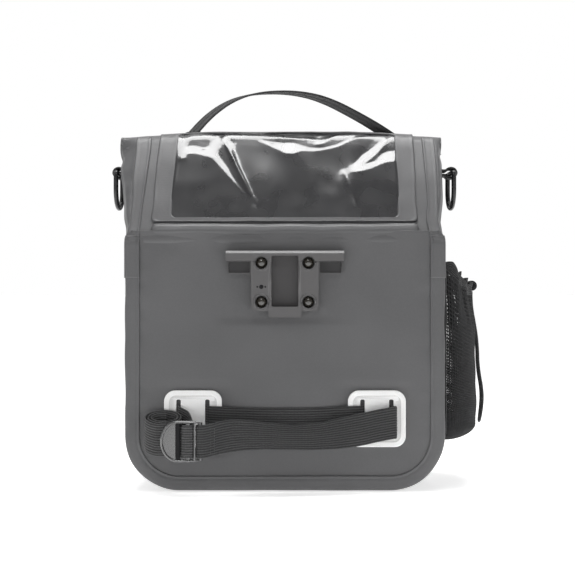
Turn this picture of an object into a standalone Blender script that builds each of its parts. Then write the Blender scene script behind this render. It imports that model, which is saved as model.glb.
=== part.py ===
"""Welded roll-top bag with a quick-release adapter plate, map window, lower strap and side pocket.

Metres, +Z up. The origin is the centre of the base, on the surface the bag stands on. The mounting
side faces -Y, the closure flap faces +Y, and the mesh pocket is on +X.
"""
import math

import bmesh
import bpy
from mathutils import Vector

MM = 0.001
GAP = 0.3 * MM                      # between pieces that touch

# ---- bag body ----
HALF_WIDTH = 125 * MM
HALF_DEPTH = 65 * MM
HEM_HEIGHT = 199 * MM               # where the upper part starts to lean
CORNER_RADIUS = 43 * MM
SKIN = 2 * MM
ARC_STEPS = 10

LEAN_ANGLE = math.radians(58.9)     # upper back panel, from the horizontal
LEAN_LENGTH = 97.8 * MM
LEAN_START = 1.5 * MM
FLARE = 5.5 * MM                    # each side of the upper part widens by this much towards the roll
FLARE_HEIGHT = 75 * MM

ROLL_CENTRE = (1 * MM, 280 * MM)    # y, z
ROLL_HALF_LENGTH = 132 * MM
ROLL_HALF_FLAT = 6.5 * MM
ROLL_FABRIC = 1.2 * MM

# ---- map pocket, in the plane of the upper back panel ----
FILM_HALF_WIDTH = 94 * MM
WINDOW_HALF_WIDTH = 89.5 * MM
FRAME_HALF_WIDTH = 104.5 * MM
FRAME_BOTTOM = 11.8 * MM
WINDOW_BOTTOM = 15.3 * MM
FRAME_TOP = 96.5 * MM

# ---- adapter plate ----
RAIL_TOP = 187 * MM
RAIL_HEIGHT = 8 * MM
RAIL_HALF_WIDTH = 45.75 * MM
PLATE_BACK = HALF_DEPTH + GAP       # distance out along -Y
PLATE_FRONT = PLATE_BACK + 12 * MM
BODY_HALF_WIDTH = 26.2 * MM
BODY_BOTTOM = 140.1 * MM
SCREW_X = 18.2 * MM
SCREW_Z = (177.6 * MM, 147.3 * MM)
SCREW_RADIUS = 2 * MM
SCREW_HOLE = 2.4 * MM

# ---- lower strap ----
WEBBING = 25 * MM
WEBBING_THICKNESS = 1.2 * MM
STRAP_PLATE_X = 71.5 * MM
STRAP_PLATE_Z = 56.4 * MM
SLOT_OFFSET = 11.2 * MM
SLOT_WIDTH = 3.4 * MM
SLOT_HEIGHT = 30 * MM
BUCKLE_AXIS = Vector((-64.6, -90.5, 41.2)) * MM
BUCKLE_BAR_RADIUS = 1.8 * MM
BUCKLE_HALF_HEIGHT = 15.8 * MM

# ---- handle, rings ----
HANDLE_FEET_X = (-74 * MM, 81 * MM)
HANDLE_WIDTH = 20 * MM
HANDLE_AXIS_Z = 288 * MM
RING_X = 136.5 * MM
RING_BAR_Z = 252.5 * MM
RING_WIRE = 2 * MM
RING_HALF_WIDTH = 14 * MM
TAB_WIDTH = 20 * MM

# ---- mesh pocket ----
POCKET_WALL_X = HALF_WIDTH + GAP
POCKET_HALF_LENGTH = 52 * MM
POCKET_DEPTH = 31 * MM
POCKET_BOTTOM = 42 * MM
POCKET_TOP = 172 * MM
POCKET_TOP_DIP = 20 * MM
MESH_THICKNESS = 1.2 * MM
HEM_BAND = 9 * MM
LOCK_CENTRE = Vector((153.6, 0, 160.0)) * MM
LOCK_RADIUS = 4.2 * MM
CORD_DIAMETER = 2.2 * MM

# ---- closure flap ----
FLAP_AXIS = Vector((0, 16.5, 280.5)) * MM
FLAP_HALF_WIDTH = 123.5 * MM
FLAP_BOTTOM = 131 * MM
FLAP_CORNER = 20 * MM


# ---------------------------------------------------------------- helpers

def material(name, colour, roughness, metallic=0.0, alpha=1.0):
    mat = bpy.data.materials.new(name)
    mat.use_nodes = True
    shader = mat.node_tree.nodes["Principled BSDF"]
    shader.inputs["Base Color"].default_value = (*colour, 1.0)
    shader.inputs["Roughness"].default_value = roughness
    shader.inputs["Metallic"].default_value = metallic
    shader.inputs["Alpha"].default_value = alpha
    return mat


def new_object(name, mesh, mat):
    obj = bpy.data.objects.new(name, mesh)
    bpy.context.scene.collection.objects.link(obj)
    if mat:
        mesh.materials.append(mat)
    return obj


def solid(name, points, faces, mat):
    """A closed body from points and faces, with its faces turned outwards."""
    mesh = bpy.data.meshes.new(name)
    mesh.from_pydata([tuple(p) for p in points], [], faces)
    shell = bmesh.new()
    shell.from_mesh(mesh)
    bmesh.ops.recalc_face_normals(shell, faces=shell.faces)
    shell.to_mesh(mesh)
    shell.free()
    return new_object(name, mesh, mat)


def extruded(name, outline, axis, low, high, mat):
    """A flat outline pulled along X, Y or Z. The outline holds the two other coordinates in order."""
    def place(pair, level):
        coords = list(pair)
        coords.insert("XYZ".index(axis), level)
        return coords
    count = len(outline)
    points = [place(pair, low) for pair in outline] + [place(pair, high) for pair in outline]
    faces = [list(range(count)), list(range(count, 2 * count))]
    for i in range(count):
        j = (i + 1) % count
        faces.append([i, j, count + j, count + i])
    return solid(name, points, faces, mat)


def box(name, low, high, mat):
    outline = [(low[0], low[1]), (high[0], low[1]), (high[0], high[1]), (low[0], high[1])]
    return extruded(name, outline, "Z", low[2], high[2], mat)


def rounded_rectangle(centre, half, radius, steps=6):
    points = []
    for corner in range(4):
        sx = 1 if corner in (0, 3) else -1
        sy = 1 if corner in (0, 1) else -1
        cx = centre[0] + sx * (half[0] - radius)
        cy = centre[1] + sy * (half[1] - radius)
        for i in range(steps + 1):
            angle = math.pi / 2 * (corner + i / steps)
            points.append((cx + radius * math.cos(angle), cy + radius * math.sin(angle)))
    return points


def bag_outline(inset=0.0, top=HEM_HEIGHT, steps=ARC_STEPS):
    """Open U outline in X and Z: down the left side, round both lower corners and up the right."""
    half = HALF_WIDTH - inset
    radius = CORNER_RADIUS - inset
    points = [(-half, top)]
    for side, start in ((-1, math.pi), (1, 1.5 * math.pi)):
        for i in range(steps + 1):
            angle = start + math.pi / 2 * i / steps
            points.append((side * (half - radius) + radius * math.cos(angle),
                           inset + radius + radius * math.sin(angle)))
    points.append((half, top))
    return points


def smooth_path(route, per_span=4):
    """Points along a Catmull-Rom curve through the route."""
    route = [Vector(p) for p in route]
    ends = [2 * route[0] - route[1]] + route + [2 * route[-1] - route[-2]]
    path = []
    for i in range(1, len(ends) - 2):
        a, b, c, d = ends[i - 1:i + 3]
        for step in range(per_span):
            t = step / per_span
            path.append(0.5 * (2 * b + (c - a) * t + (2 * a - 5 * b + 4 * c - d) * t ** 2
                               + (3 * b - a - 3 * c + d) * t ** 3))
    path.append(route[-1])
    return path


def strip(name, path, widths, thickness, sides, mat):
    """A flat strip swept along a path. sides is the direction of its width, one or one per point."""
    count = len(path)
    if not isinstance(widths, list):
        widths = [widths] * count
    if not isinstance(sides, list):
        sides = [sides] * count
    points = []
    for i, point in enumerate(path):
        before = path[max(i - 1, 0)]
        after = path[min(i + 1, count - 1)]
        side = sides[i].normalized()
        normal = (after - before).cross(side).normalized()
        for s, n in ((1, 1), (-1, 1), (-1, -1), (1, -1)):
            points.append(point + side * (s * widths[i] / 2) + normal * (n * thickness / 2))
    faces = [[0, 1, 2, 3], [4 * count - 4 + k for k in range(4)]]
    for i in range(count - 1):
        for k in range(4):
            m = (k + 1) % 4
            faces.append([4 * i + k, 4 * i + m, 4 * i + 4 + m, 4 * i + 4 + k])
    return solid(name, points, faces, mat)


def cylinder(name, start, end, radius, mat, sides=20):
    """A round bar between two points."""
    start, end = Vector(start), Vector(end)
    along = (end - start).normalized()
    across = along.orthogonal().normalized()
    up = along.cross(across)
    ring = [across * math.cos(2 * math.pi * i / sides) + up * math.sin(2 * math.pi * i / sides)
            for i in range(sides)]
    points = [start + r * radius for r in ring] + [end + r * radius for r in ring]
    faces = [list(range(sides)), list(range(sides, 2 * sides))]
    for i in range(sides):
        j = (i + 1) % sides
        faces.append([i, j, sides + j, sides + i])
    obj = solid(name, points, faces, mat)
    smooth(obj)
    return obj


def turned(name, centre, axis, profile, mat, sides=20):
    """A body turned round an axis. The profile lists (radius, distance along the axis)."""
    axis = Vector(axis).normalized()
    across = axis.orthogonal().normalized()
    up = axis.cross(across)
    centre = Vector(centre)
    points = []
    rings = []
    for radius, along in profile:
        if radius == 0:
            rings.append([len(points)])
            points.append(centre + axis * along)
            continue
        first = len(points)
        rings.append(list(range(first, first + sides)))
        for i in range(sides):
            angle = 2 * math.pi * i / sides
            points.append(centre + axis * along
                          + (across * math.cos(angle) + up * math.sin(angle)) * radius)
    faces = []
    for lower, upper in zip(rings, rings[1:]):
        for i in range(sides):
            j = (i + 1) % sides
            if len(lower) == 1:
                faces.append([lower[0], upper[i], upper[j]])
            elif len(upper) == 1:
                faces.append([lower[i], lower[j], upper[0]])
            else:
                faces.append([lower[i], lower[j], upper[j], upper[i]])
    obj = solid(name, points, faces, mat)
    smooth(obj)
    return obj


def smooth(obj, angle=35):
    obj.data.shade_smooth()
    obj.data.set_sharp_from_angle(angle=math.radians(angle))


def as_cutter(obj):
    obj.hide_render = True
    obj.display_type = "WIRE"
    return obj


def combine(obj, other, operation="DIFFERENCE"):
    modifier = obj.modifiers.new(operation.title(), "BOOLEAN")
    modifier.operation = operation
    modifier.solver = "EXACT"
    modifier.object = as_cutter(other)


def pivot(name, location, children):
    """An empty on a joint's axis that carries a moving body's pieces."""
    empty = bpy.data.objects.new(name, None)
    bpy.context.scene.collection.objects.link(empty)
    empty.location = location
    for child in children:
        child.parent = empty
        child.location = child.location - Vector(location)


# ---------------------------------------------------------------- bag body

def wall_x(height):
    """Distance of the outer side wall from the middle, at a height above the hem."""
    return HALF_WIDTH + FLARE * max(0, height - HEM_HEIGHT) / FLARE_HEIGHT


def place_on_lean(obj):
    """Lay a piece, drawn flat in X and Y with Z outwards, on the leaning back panel."""
    obj.location = (0, -HALF_DEPTH, HEM_HEIGHT + GAP)
    obj.rotation_euler = (LEAN_ANGLE, 0, 0)


def make_body(mats):
    panels = {}
    for name, low in (("back_panel", -HALF_DEPTH), ("front_panel", HALF_DEPTH - SKIN)):
        panels[name] = extruded(name, bag_outline(), "Y", low, low + SKIN, mats["coated_fabric"])
    side = Vector((0, 1, 0))
    middle = [Vector((x, 0, z)) for x, z in bag_outline(SKIN / 2)]
    gusset_width = 2 * (HALF_DEPTH - SKIN - GAP)
    smooth(strip("gusset", middle, gusset_width, SKIN, side, mats["coated_fabric"]))
    band = 11 * MM
    seam = [Vector((x, 0, z)) for x, z in bag_outline(0.5 * MM + band / 2, HEM_HEIGHT - MM)]
    for name, sign in (("back_weld_band", -1), ("front_weld_band", 1)):
        offset = Vector((0, sign * (HALF_DEPTH + GAP + 0.4 * MM), 0))
        strip(name, [p + offset for p in seam], 0.8 * MM, band, side, mats["weld_tape"])
    return panels["back_panel"]


def make_upper_body(mats):
    """The wedge above the hem: leaning back panel, two side gussets, the rolled edge."""
    lean = Vector((0, math.cos(LEAN_ANGLE), math.sin(LEAN_ANGLE)))
    inward = Vector((0, math.sin(LEAN_ANGLE), -math.cos(LEAN_ANGLE)))
    hem = Vector((0, -HALF_DEPTH, HEM_HEIGHT + GAP))
    top_half = HALF_WIDTH + FLARE
    outline = [(-HALF_WIDTH, LEAN_START), (HALF_WIDTH, LEAN_START), (top_half, LEAN_LENGTH),
               (-top_half, LEAN_LENGTH)]
    place_on_lean(extruded("upper_back_panel", outline, "Z", -SKIN, 0, mats["coated_fabric"]))

    roll_bottom = ROLL_CENTRE[1] - 6.5 * MM
    inner = hem + inward * (SKIN + GAP + 0.2 * MM)
    back_low = inner.y + (HEM_HEIGHT + GAP - inner.z) / lean.z * lean.y
    back_high = inner.y + (roll_bottom - inner.z) / lean.z * lean.y
    sleeve = [(back_low, HEM_HEIGHT + GAP), (HALF_DEPTH - SKIN - GAP, HEM_HEIGHT + GAP),
              (13 * MM, roll_bottom), (back_high, roll_bottom)]
    for name, sign in (("left_sleeve_gusset", -1), ("right_sleeve_gusset", 1)):
        points = [(sign * (wall_x(z) - skin), y, z) for skin in (0, SKIN) for y, z in sleeve]
        faces = [[0, 1, 2, 3], [4, 5, 6, 7]] + [[i, (i + 1) % 4, 4 + (i + 1) % 4, 4 + i] for i in range(4)]
        solid(name, points, faces, mats["coated_fabric"])
    make_roll(mats)


def make_roll(mats):
    """Fabric wound two and a half times round a flat stiffener."""
    turns = 2.4
    pitch = ROLL_FABRIC + GAP
    start_radius = 2.0 * MM
    per_turn = 12
    path = []
    for i in range(int(turns * per_turn) + 1):
        angle = 2 * math.pi * (i + 0.5) / per_turn
        radius = start_radius + pitch * i / per_turn
        flat = math.copysign(ROLL_HALF_FLAT, math.cos(angle))
        path.append(Vector((0, ROLL_CENTRE[0] + flat + radius * math.cos(angle),
                            ROLL_CENTRE[1] + radius * math.sin(angle))))
    roll = strip("top_roll", path, 2 * ROLL_HALF_LENGTH, ROLL_FABRIC, Vector((1, 0, 0)),
                 mats["coated_fabric"])
    smooth(roll, 50)
    low = (-ROLL_HALF_LENGTH + 5 * MM, ROLL_CENTRE[0] - 6 * MM, ROLL_CENTRE[1] - 0.9 * MM)
    high = (ROLL_HALF_LENGTH - 5 * MM, ROLL_CENTRE[0] + 6 * MM, ROLL_CENTRE[1] + 0.9 * MM)
    box("roll_stiffener", low, high, mats["board"])


def make_boards(mats):
    inside = HALF_DEPTH - SKIN - GAP
    box("base_board", (-80 * MM, -58 * MM, SKIN + GAP), (80 * MM, 58 * MM, 4.3 * MM), mats["board"])
    board = rounded_rectangle((0, 120 * MM), (115 * MM, 75 * MM), 8 * MM)
    return extruded("back_board", board, "Y", -inside, -inside + 2 * MM, mats["board"])


# ---------------------------------------------------------------- map pocket

def make_map_pocket(mats):
    """Film, frame and hem band lie on the outer face of the leaning panel."""
    frame = rounded_rectangle((0, (FRAME_BOTTOM + FRAME_TOP) / 2),
                              (FRAME_HALF_WIDTH, (FRAME_TOP - FRAME_BOTTOM) / 2), 3 * MM)
    frame = extruded("map_pocket_frame", frame, "Z", 1.2 * MM, 2.4 * MM, mats["coated_fabric"])
    opening = rounded_rectangle((0, WINDOW_BOTTOM + 50 * MM), (WINDOW_HALF_WIDTH, 50 * MM), 4 * MM)
    combine(frame, extruded("window_cutter", opening, "Z", 0, 4 * MM, None))
    film_low = (-FILM_HALF_WIDTH, FRAME_BOTTOM + 1 * MM, GAP)
    film_high = (FILM_HALF_WIDTH, FRAME_TOP - 0.5 * MM, 0.9 * MM)
    film = box("map_window", film_low, film_high, mats["clear_film"])
    hem = rounded_rectangle((0, 6 * MM), (FRAME_HALF_WIDTH, 4.4 * MM), 4 * MM)
    hem = extruded("window_hem_band", hem, "Z", GAP, 2.8 * MM, mats["coated_fabric"])
    for piece in (frame, bpy.data.objects["window_cutter"], film, hem):
        place_on_lean(piece)


# ---------------------------------------------------------------- adapter plate

def screw_places():
    return [(sx * SCREW_X, z) for z in SCREW_Z for sx in (-1, 1)]


def screw_hole_cutters():
    """One row of clearance holes through everything that the four screws clamp."""
    holes = []
    for i, (x, z) in enumerate(screw_places()):
        holes.append(as_cutter(cylinder(f"screw_hole_{i + 1}", (x, -90 * MM, z), (x, -50 * MM, z),
                                        SCREW_HOLE, None, 16)))
    return holes


def make_adapter_plate(mats):
    base_front = PLATE_BACK + 4 * MM
    wing_bottom = 169.2 * MM
    wing = 44.6 * MM
    wing_corner = 1.5 * MM
    fillet = 6 * MM
    outline = [(RAIL_HALF_WIDTH, RAIL_TOP), (RAIL_HALF_WIDTH, RAIL_TOP - RAIL_HEIGHT)]
    for i in range(5):
        angle = -math.pi / 2 * i / 4
        outline.append((wing - wing_corner + wing_corner * math.cos(angle),
                        wing_bottom + wing_corner + wing_corner * math.sin(angle)))
    for i in range(7):
        angle = math.pi / 2 + math.pi / 2 * i / 6
        outline.append((BODY_HALF_WIDTH + fillet + fillet * math.cos(angle),
                        wing_bottom - fillet + fillet * math.sin(angle)))
    for i in range(5):
        angle = -math.pi / 2 * i / 4
        outline.append((BODY_HALF_WIDTH - 3 * MM + 3 * MM * math.cos(angle),
                        BODY_BOTTOM + 3 * MM + 3 * MM * math.sin(angle)))
    outline += [(-x, z) for x, z in reversed(outline)]
    plate = extruded("mount_plate", outline, "Y", -base_front, -PLATE_BACK, mats["moulded_plastic"])

    rail = extruded("rail_block", rounded_rectangle((0, RAIL_TOP - RAIL_HEIGHT / 2),
                    (RAIL_HALF_WIDTH - 0.1 * MM, RAIL_HEIGHT / 2 - 0.05 * MM), 1.5 * MM, 3),
                    "Y", -PLATE_FRONT, -PLATE_BACK - 1 * MM, None)
    block = extruded("body_block", rounded_rectangle((0, (RAIL_TOP + BODY_BOTTOM) / 2 - 1 * MM),
                     (BODY_HALF_WIDTH - 0.3 * MM, (RAIL_TOP - BODY_BOTTOM) / 2 - 1.4 * MM), 2.5 * MM, 4),
                     "Y", -PLATE_FRONT + 1 * MM, -PLATE_BACK - 1.2 * MM, None)
    tab = extruded("tab_block", rounded_rectangle((0, 141.3 * MM), (12.8 * MM, 6 * MM), 2 * MM, 4),
                   "Y", -PLATE_FRONT + 0.4 * MM, -PLATE_BACK - 0.8 * MM, None)
    for part in (rail, block, tab):
        combine(plate, part, "UNION")
    channel = extruded("channel_cutter", rounded_rectangle((0, 163.4 * MM), (10.4 * MM, 19.7 * MM),
                       1.5 * MM, 3), "Y", -PLATE_FRONT - 2 * MM, -PLATE_FRONT + 6 * MM, None)
    combine(plate, channel)
    for i, (x, z) in enumerate(screw_places()):
        combine(plate, cylinder(f"counterbore_{i + 1}", (x, -PLATE_FRONT - 2 * MM, z),
                                (x, -PLATE_FRONT + 5 * MM, z), 5 * MM, None, 24))
    return plate


def make_fasteners(mats):
    """Backing plate inside the bag, four dome-headed screws and four nuts."""
    inner = -HALF_DEPTH + SKIN + GAP + 2 * MM + GAP
    backing = extruded("mount_backing_plate", rounded_rectangle((0, 162.4 * MM), (26 * MM, 23 * MM),
                       4 * MM), "Y", inner, inner + 2 * MM, mats["board"])
    seat = -PLATE_FRONT + 5 * MM - GAP
    for i, (x, z) in enumerate(screw_places()):
        head = 2.6 * MM
        profile = [(0, -head), (1.6 * MM, -head + 0.1 * MM), (3.0 * MM, -head + 0.7 * MM),
                   (3.8 * MM, -head + 1.8 * MM), (3.9 * MM, 0), (SCREW_RADIUS, 0),
                   (SCREW_RADIUS, 18.5 * MM), (0, 18.5 * MM)]
        turned(f"mount_screw_{i + 1}", (x, seat, z), (0, 1, 0), profile, mats["dark_steel"], 16)
        nut_face = inner + 2 * MM + GAP
        across = 3.5 * MM / math.cos(math.pi / 6)
        hexagon = [(x + across * math.cos(math.pi / 3 * k), z + across * math.sin(math.pi / 3 * k))
                   for k in range(6)]
        nut = extruded(f"mount_nut_{i + 1}", hexagon, "Y", nut_face, nut_face + 3 * MM,
                       mats["dark_steel"])
        combine(nut, cylinder(f"nut_bore_{i + 1}", (x, nut_face - MM, z), (x, nut_face + 5 * MM, z),
                              SCREW_RADIUS + GAP, None, 16))
    return backing


# ---------------------------------------------------------------- lower strap

def make_strap_plates(mats):
    back = HALF_DEPTH + GAP
    for name, sign in (("left_strap_plate", -1), ("right_strap_plate", 1)):
        centre = (sign * STRAP_PLATE_X, STRAP_PLATE_Z)
        plate = extruded(name, rounded_rectangle(centre, (22.5 * MM, 22 * MM), 8.6 * MM), "Y",
                         -back - 4 * MM, -back, mats["white_plastic"])
        recess = box(name + "_recess",
                     (centre[0] - 14 * MM, -back - 2.2 * MM, centre[1] - 15.5 * MM),
                     (centre[0] + 14 * MM, -back + MM, centre[1] + 15.5 * MM), None)
        combine(plate, recess)
        for k in (-1, 1):
            x = centre[0] + k * SLOT_OFFSET
            slot = rounded_rectangle((x, centre[1]), (SLOT_WIDTH / 2, SLOT_HEIGHT / 2), 1.2 * MM, 3)
            combine(plate, extruded(f"{name}_slot_{k + 2}", slot, "Y", -back - 6 * MM, -back - MM, None))


# The webbing lies flat on the panel, dips behind the bridge of each white plate, comes out of the
# right plate and runs back, twisting, to the buckle's bar. Columns: x, y, z of the centre line and the
# lean of the width from the vertical, in millimetres and degrees.
LOWER_STRAP_ROUTE = [
    (-82.9, -69.4, 54.4, 0), (-82.5, -68.0, 54.4, 0), (-81.4, -66.8, 54.4, 0), (-79.0, -66.4, 54.4, 0),
    (-66.0, -66.4, 54.4, 0), (-62.4, -66.5, 54.4, 0), (-61.3, -67.0, 54.4, 0), (-60.3, -68.4, 54.3, 0),
    (-59.4, -69.8, 54.2, 0), (-57.5, -70.5, 54.0, 0), (-49.0, -70.2, 53.6, 0), (-40.0, -67.2, 53.0, 0),
    (-20.0, -66.5, 52.4, 0), (0.0, -66.5, 52.2, 0), (20.0, -66.5, 52.4, 0), (40.0, -67.2, 53.2, 0),
    (49.0, -70.2, 53.8, 0), (57.5, -70.5, 54.2, 0), (59.4, -69.8, 54.4, 0), (60.3, -68.4, 54.4, 0),
    (61.3, -67.0, 54.4, 0), (62.4, -66.5, 54.4, 0), (66.0, -66.4, 54.4, 0), (78.4, -66.4, 54.4, 0),
    (81.6, -67.0, 54.4, 0), (82.6, -68.4, 54.4, 0), (83.5, -70.2, 54.3, 0), (85.6, -72.6, 54.2, 0),
    (86.0, -75.4, 54.2, 0), (83.4, -77.0, 54.0, 0), (72.0, -77.6, 52.0, 3), (60.0, -78.6, 49.4, 8),
    (43.4, -80.2, 46.6, 24), (26.3, -82.2, 44.4, 39), (6.5, -84.2, 43.8, 46), (-12.0, -86.2, 44.8, 41),
    (-28.0, -88.0, 45.6, 31), (-40.0, -89.8, 45.4, 17), (-49.0, -91.5, 44.2, 2), (-55.0, -92.2, 42.6, 0),
    (-60.8, -93.0, 41.4, 0), (-64.6, -93.3, 41.2, 0), (-66.6, -92.5, 41.2, 0), (-67.4, -90.5, 41.2, 0),
    (-66.6, -88.5, 41.2, 0), (-64.6, -87.7, 41.2, 0), (-60.8, -88.2, 41.4, 0), (-56.8, -89.9, 42.0, 0),
    (-52.8, -90.2, 42.8, 0)]

# From the left plate up through the buckle, over its middle bar, back down and on to the rolled tail.
TAIL_ROUTE = [
    (-82.6, -69.9, 54.4), (-82.0, -71.6, 53.8), (-78.6, -73.4, 52.4), (-74.4, -76.2, 50.2),
    (-72.2, -80.4, 46.8), (-70.6, -85.6, 43.0), (-70.0, -88.6, 41.4), (-70.1, -91.4, 41.2),
    (-71.0, -93.1, 41.2), (-73.8, -93.7, 41.2), (-76.6, -93.1, 41.2), (-77.9, -91.2, 41.2),
    (-79.0, -89.0, 41.2), (-81.6, -87.4, 41.4), (-86.0, -86.9, 41.9)]
COIL_CENTRE = (-93.2, -78.6, 46.6)      # millimetres
COIL_TURNS = 2.6
COIL_RISE = 0.55                        # the far side of the roll stands higher than the near side


def tail_coil():
    """Flattened spiral of the rolled tail, from its outer turn inwards, seen from above."""
    points = []
    per_turn = 16
    for i in range(1, int(COIL_TURNS * per_turn)):
        angle = -math.pi / 2 - 2 * math.pi * i / per_turn
        radius = 8.2 - 1.7 * i / per_turn
        flat = 6.8 * math.cos(angle) * (1 - 0.1 * i / per_turn)
        points.append((COIL_CENTRE[0] + flat + radius * math.cos(angle),
                       COIL_CENTRE[1] + radius * math.sin(angle),
                       COIL_CENTRE[2] + COIL_RISE * radius * math.sin(angle)))
    return points


def make_lower_strap(mats):
    path = smooth_path([Vector(row[:3]) * MM for row in LOWER_STRAP_ROUTE], 2)
    leans = [row[3] for row in LOWER_STRAP_ROUTE]
    sides = []
    for i in range(len(path)):
        low = i // 2
        high = min(low + 1, len(leans) - 1)
        lean = math.radians((leans[low] + leans[high]) / 2 if i % 2 else leans[low])
        sides.append(Vector((0, math.sin(lean), math.cos(lean))))
    strip("lower_strap", path, WEBBING, WEBBING_THICKNESS, sides, mats["webbing"])


def make_buckle(mats):
    bar_x, bar_y, bar_z = BUCKLE_AXIS
    half = BUCKLE_HALF_HEIGHT
    outline = [(bar_x, bar_z + half), (bar_x, bar_z - half)]
    for i in range(13):
        angle = -math.pi / 2 - math.pi * i / 12
        outline.append((bar_x - 17.4 * MM + 13.3 * MM * math.cos(angle), bar_z + half * math.sin(angle)))
    buckle = extruded("strap_buckle", outline, "Y", bar_y - 2 * MM, bar_y + 2 * MM,
                      mats["moulded_plastic"])
    bar = cylinder("buckle_bar", BUCKLE_AXIS - Vector((0, 0, half)), BUCKLE_AXIS + Vector((0, 0, half)),
                   BUCKLE_BAR_RADIUS, None, 16)
    window = 13 * MM
    gate = box("buckle_gate", (bar_x - 7.4 * MM, bar_y - 4 * MM, bar_z - window),
               (bar_x + 6.8 * MM, bar_y + 4 * MM, bar_z + window), None)
    slot = box("buckle_slot", (bar_x - 19.2 * MM, bar_y - 4 * MM, bar_z - window),
               (bar_x - 10.8 * MM, bar_y + 4 * MM, bar_z + window), None)
    combine(buckle, gate)
    combine(buckle, slot)
    combine(buckle, bar, "UNION")
    route = [Vector(p) * MM for p in TAIL_ROUTE + tail_coil()]
    tail = strip("strap_tail", smooth_path(route, 2), WEBBING, WEBBING_THICKNESS, Vector((0, 0, 1)),
                 mats["webbing"])
    smooth(tail, 50)
    return [buckle, bar, gate, slot, tail]


# ---------------------------------------------------------------- handle and rings

# X and Z along the handle's arch, in millimetres.
HANDLE_ROUTE = [(-72.0, 291.6), (-68.0, 296.6), (-60.5, 303.4), (-50.0, 310.6), (-38.0, 316.4),
                (-24.0, 319.6), (-8.0, 320.8), (8.0, 320.2), (24.0, 317.2), (39.0, 311.8), (53.0, 304.8),
                (66.0, 298.0), (73.5, 294.2), (78.0, 291.6)]


def make_handle(mats):
    """A low webbing arch and its two sewn feet. The webbing's width runs fore and aft, a little askew."""
    path = smooth_path([Vector((x * MM, 0, z * MM)) for x, z in HANDLE_ROUTE], 2)
    askew = math.radians(32)
    arch = strip("handle_strap", path, HANDLE_WIDTH, 1.5 * MM,
                 Vector((-math.sin(askew), math.cos(askew), 0)), mats["webbing"])
    smooth(arch, 50)
    pivot("handle_pivot", (0, 0, HANDLE_AXIS_Z), [arch])
    roll_top = ROLL_CENTRE[1] + 6.5 * MM
    for name, x in zip(("left_handle_foot", "right_handle_foot"), HANDLE_FEET_X):
        box(name, (x - 9 * MM, -HANDLE_WIDTH / 2, roll_top),
            (x + 9 * MM, HANDLE_WIDTH / 2, roll_top + 1.3 * MM), mats["webbing"])


def make_rings(mats):
    """A D-ring on each side, hanging from a folded webbing tab."""
    for name, sign in (("left", -1), ("right", 1)):
        centre = [(-RING_HALF_WIDTH, 0)]
        drop = 14 * MM
        steps = 12
        for i in range(steps + 1):
            angle = math.pi * (1 + i / steps)
            centre.append((RING_HALF_WIDTH * math.cos(angle),
                           -drop + RING_HALF_WIDTH * 1.05 * math.sin(angle)))
        centre.append((RING_HALF_WIDTH, 0))
        centre += [(RING_HALF_WIDTH * k / 3, 0) for k in (2, 1, 0, -1, -2)]
        route = [Vector((0, y, z)) for y, z in centre]
        ring = round_loop(f"{name}_d_ring", route, RING_WIRE, mats["ring_metal"])
        ring.location = (sign * RING_X, 0, RING_BAR_Z)
        reach = RING_X + 2.95 * MM
        loop = [(wall_x(270 * MM) + 0.9 * MM, 270), (wall_x(263 * MM) + 0.9 * MM, 263),
                (wall_x(259 * MM) + 2.6 * MM, 258.6), (reach - 4.2 * MM, 256.0), (reach - 0.9 * MM, 254.9),
                (reach, 252.5), (reach - 0.9 * MM, 250.1), (reach - 4.2 * MM, 249.0),
                (wall_x(246 * MM) + 2.6 * MM, 246.4), (wall_x(242 * MM) + 0.9 * MM, 242),
                (wall_x(235 * MM) + 0.9 * MM, 235)]
        path = smooth_path([Vector((sign * x, 0, z * MM)) for x, z in loop], 2)
        strip(f"{name}_ring_tab", path, TAB_WIDTH, 1.2 * MM, Vector((0, 1, 0)), mats["webbing"])


def round_loop(name, route, radius, mat):
    """A closed loop of round wire."""
    curve = bpy.data.curves.new(name, "CURVE")
    curve.dimensions = "3D"
    curve.bevel_depth = radius
    curve.bevel_resolution = 2
    spline = curve.splines.new("POLY")
    spline.points.add(len(route) - 1)
    for point, place in zip(spline.points, route):
        point.co = (*place, 1)
    spline.use_cyclic_u = True
    curve.materials.append(mat)
    obj = bpy.data.objects.new(name, curve)
    bpy.context.scene.collection.objects.link(obj)
    return obj


# ---------------------------------------------------------------- mesh pocket

def pocket_point(u, v, shrink):
    """A point of the pocket's wall: u runs along the bag's side, v from the bottom to the top."""
    spread = math.sin(math.pi * u) ** 0.6
    rise = math.sin(min(v / 0.1, 1) * math.pi / 2) ** 0.45
    gather = 1 - 0.25 * max(0, (v - 0.5) / 0.5) ** 2
    length = POCKET_HALF_LENGTH - shrink
    top = POCKET_TOP - POCKET_TOP_DIP * math.sin(math.pi * u) ** 0.6
    bottom = POCKET_BOTTOM + shrink
    return Vector((POCKET_WALL_X + (POCKET_DEPTH - shrink) * spread * rise * gather,
                   -length * math.cos(math.pi * u), bottom + v * (top - bottom)))


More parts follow.
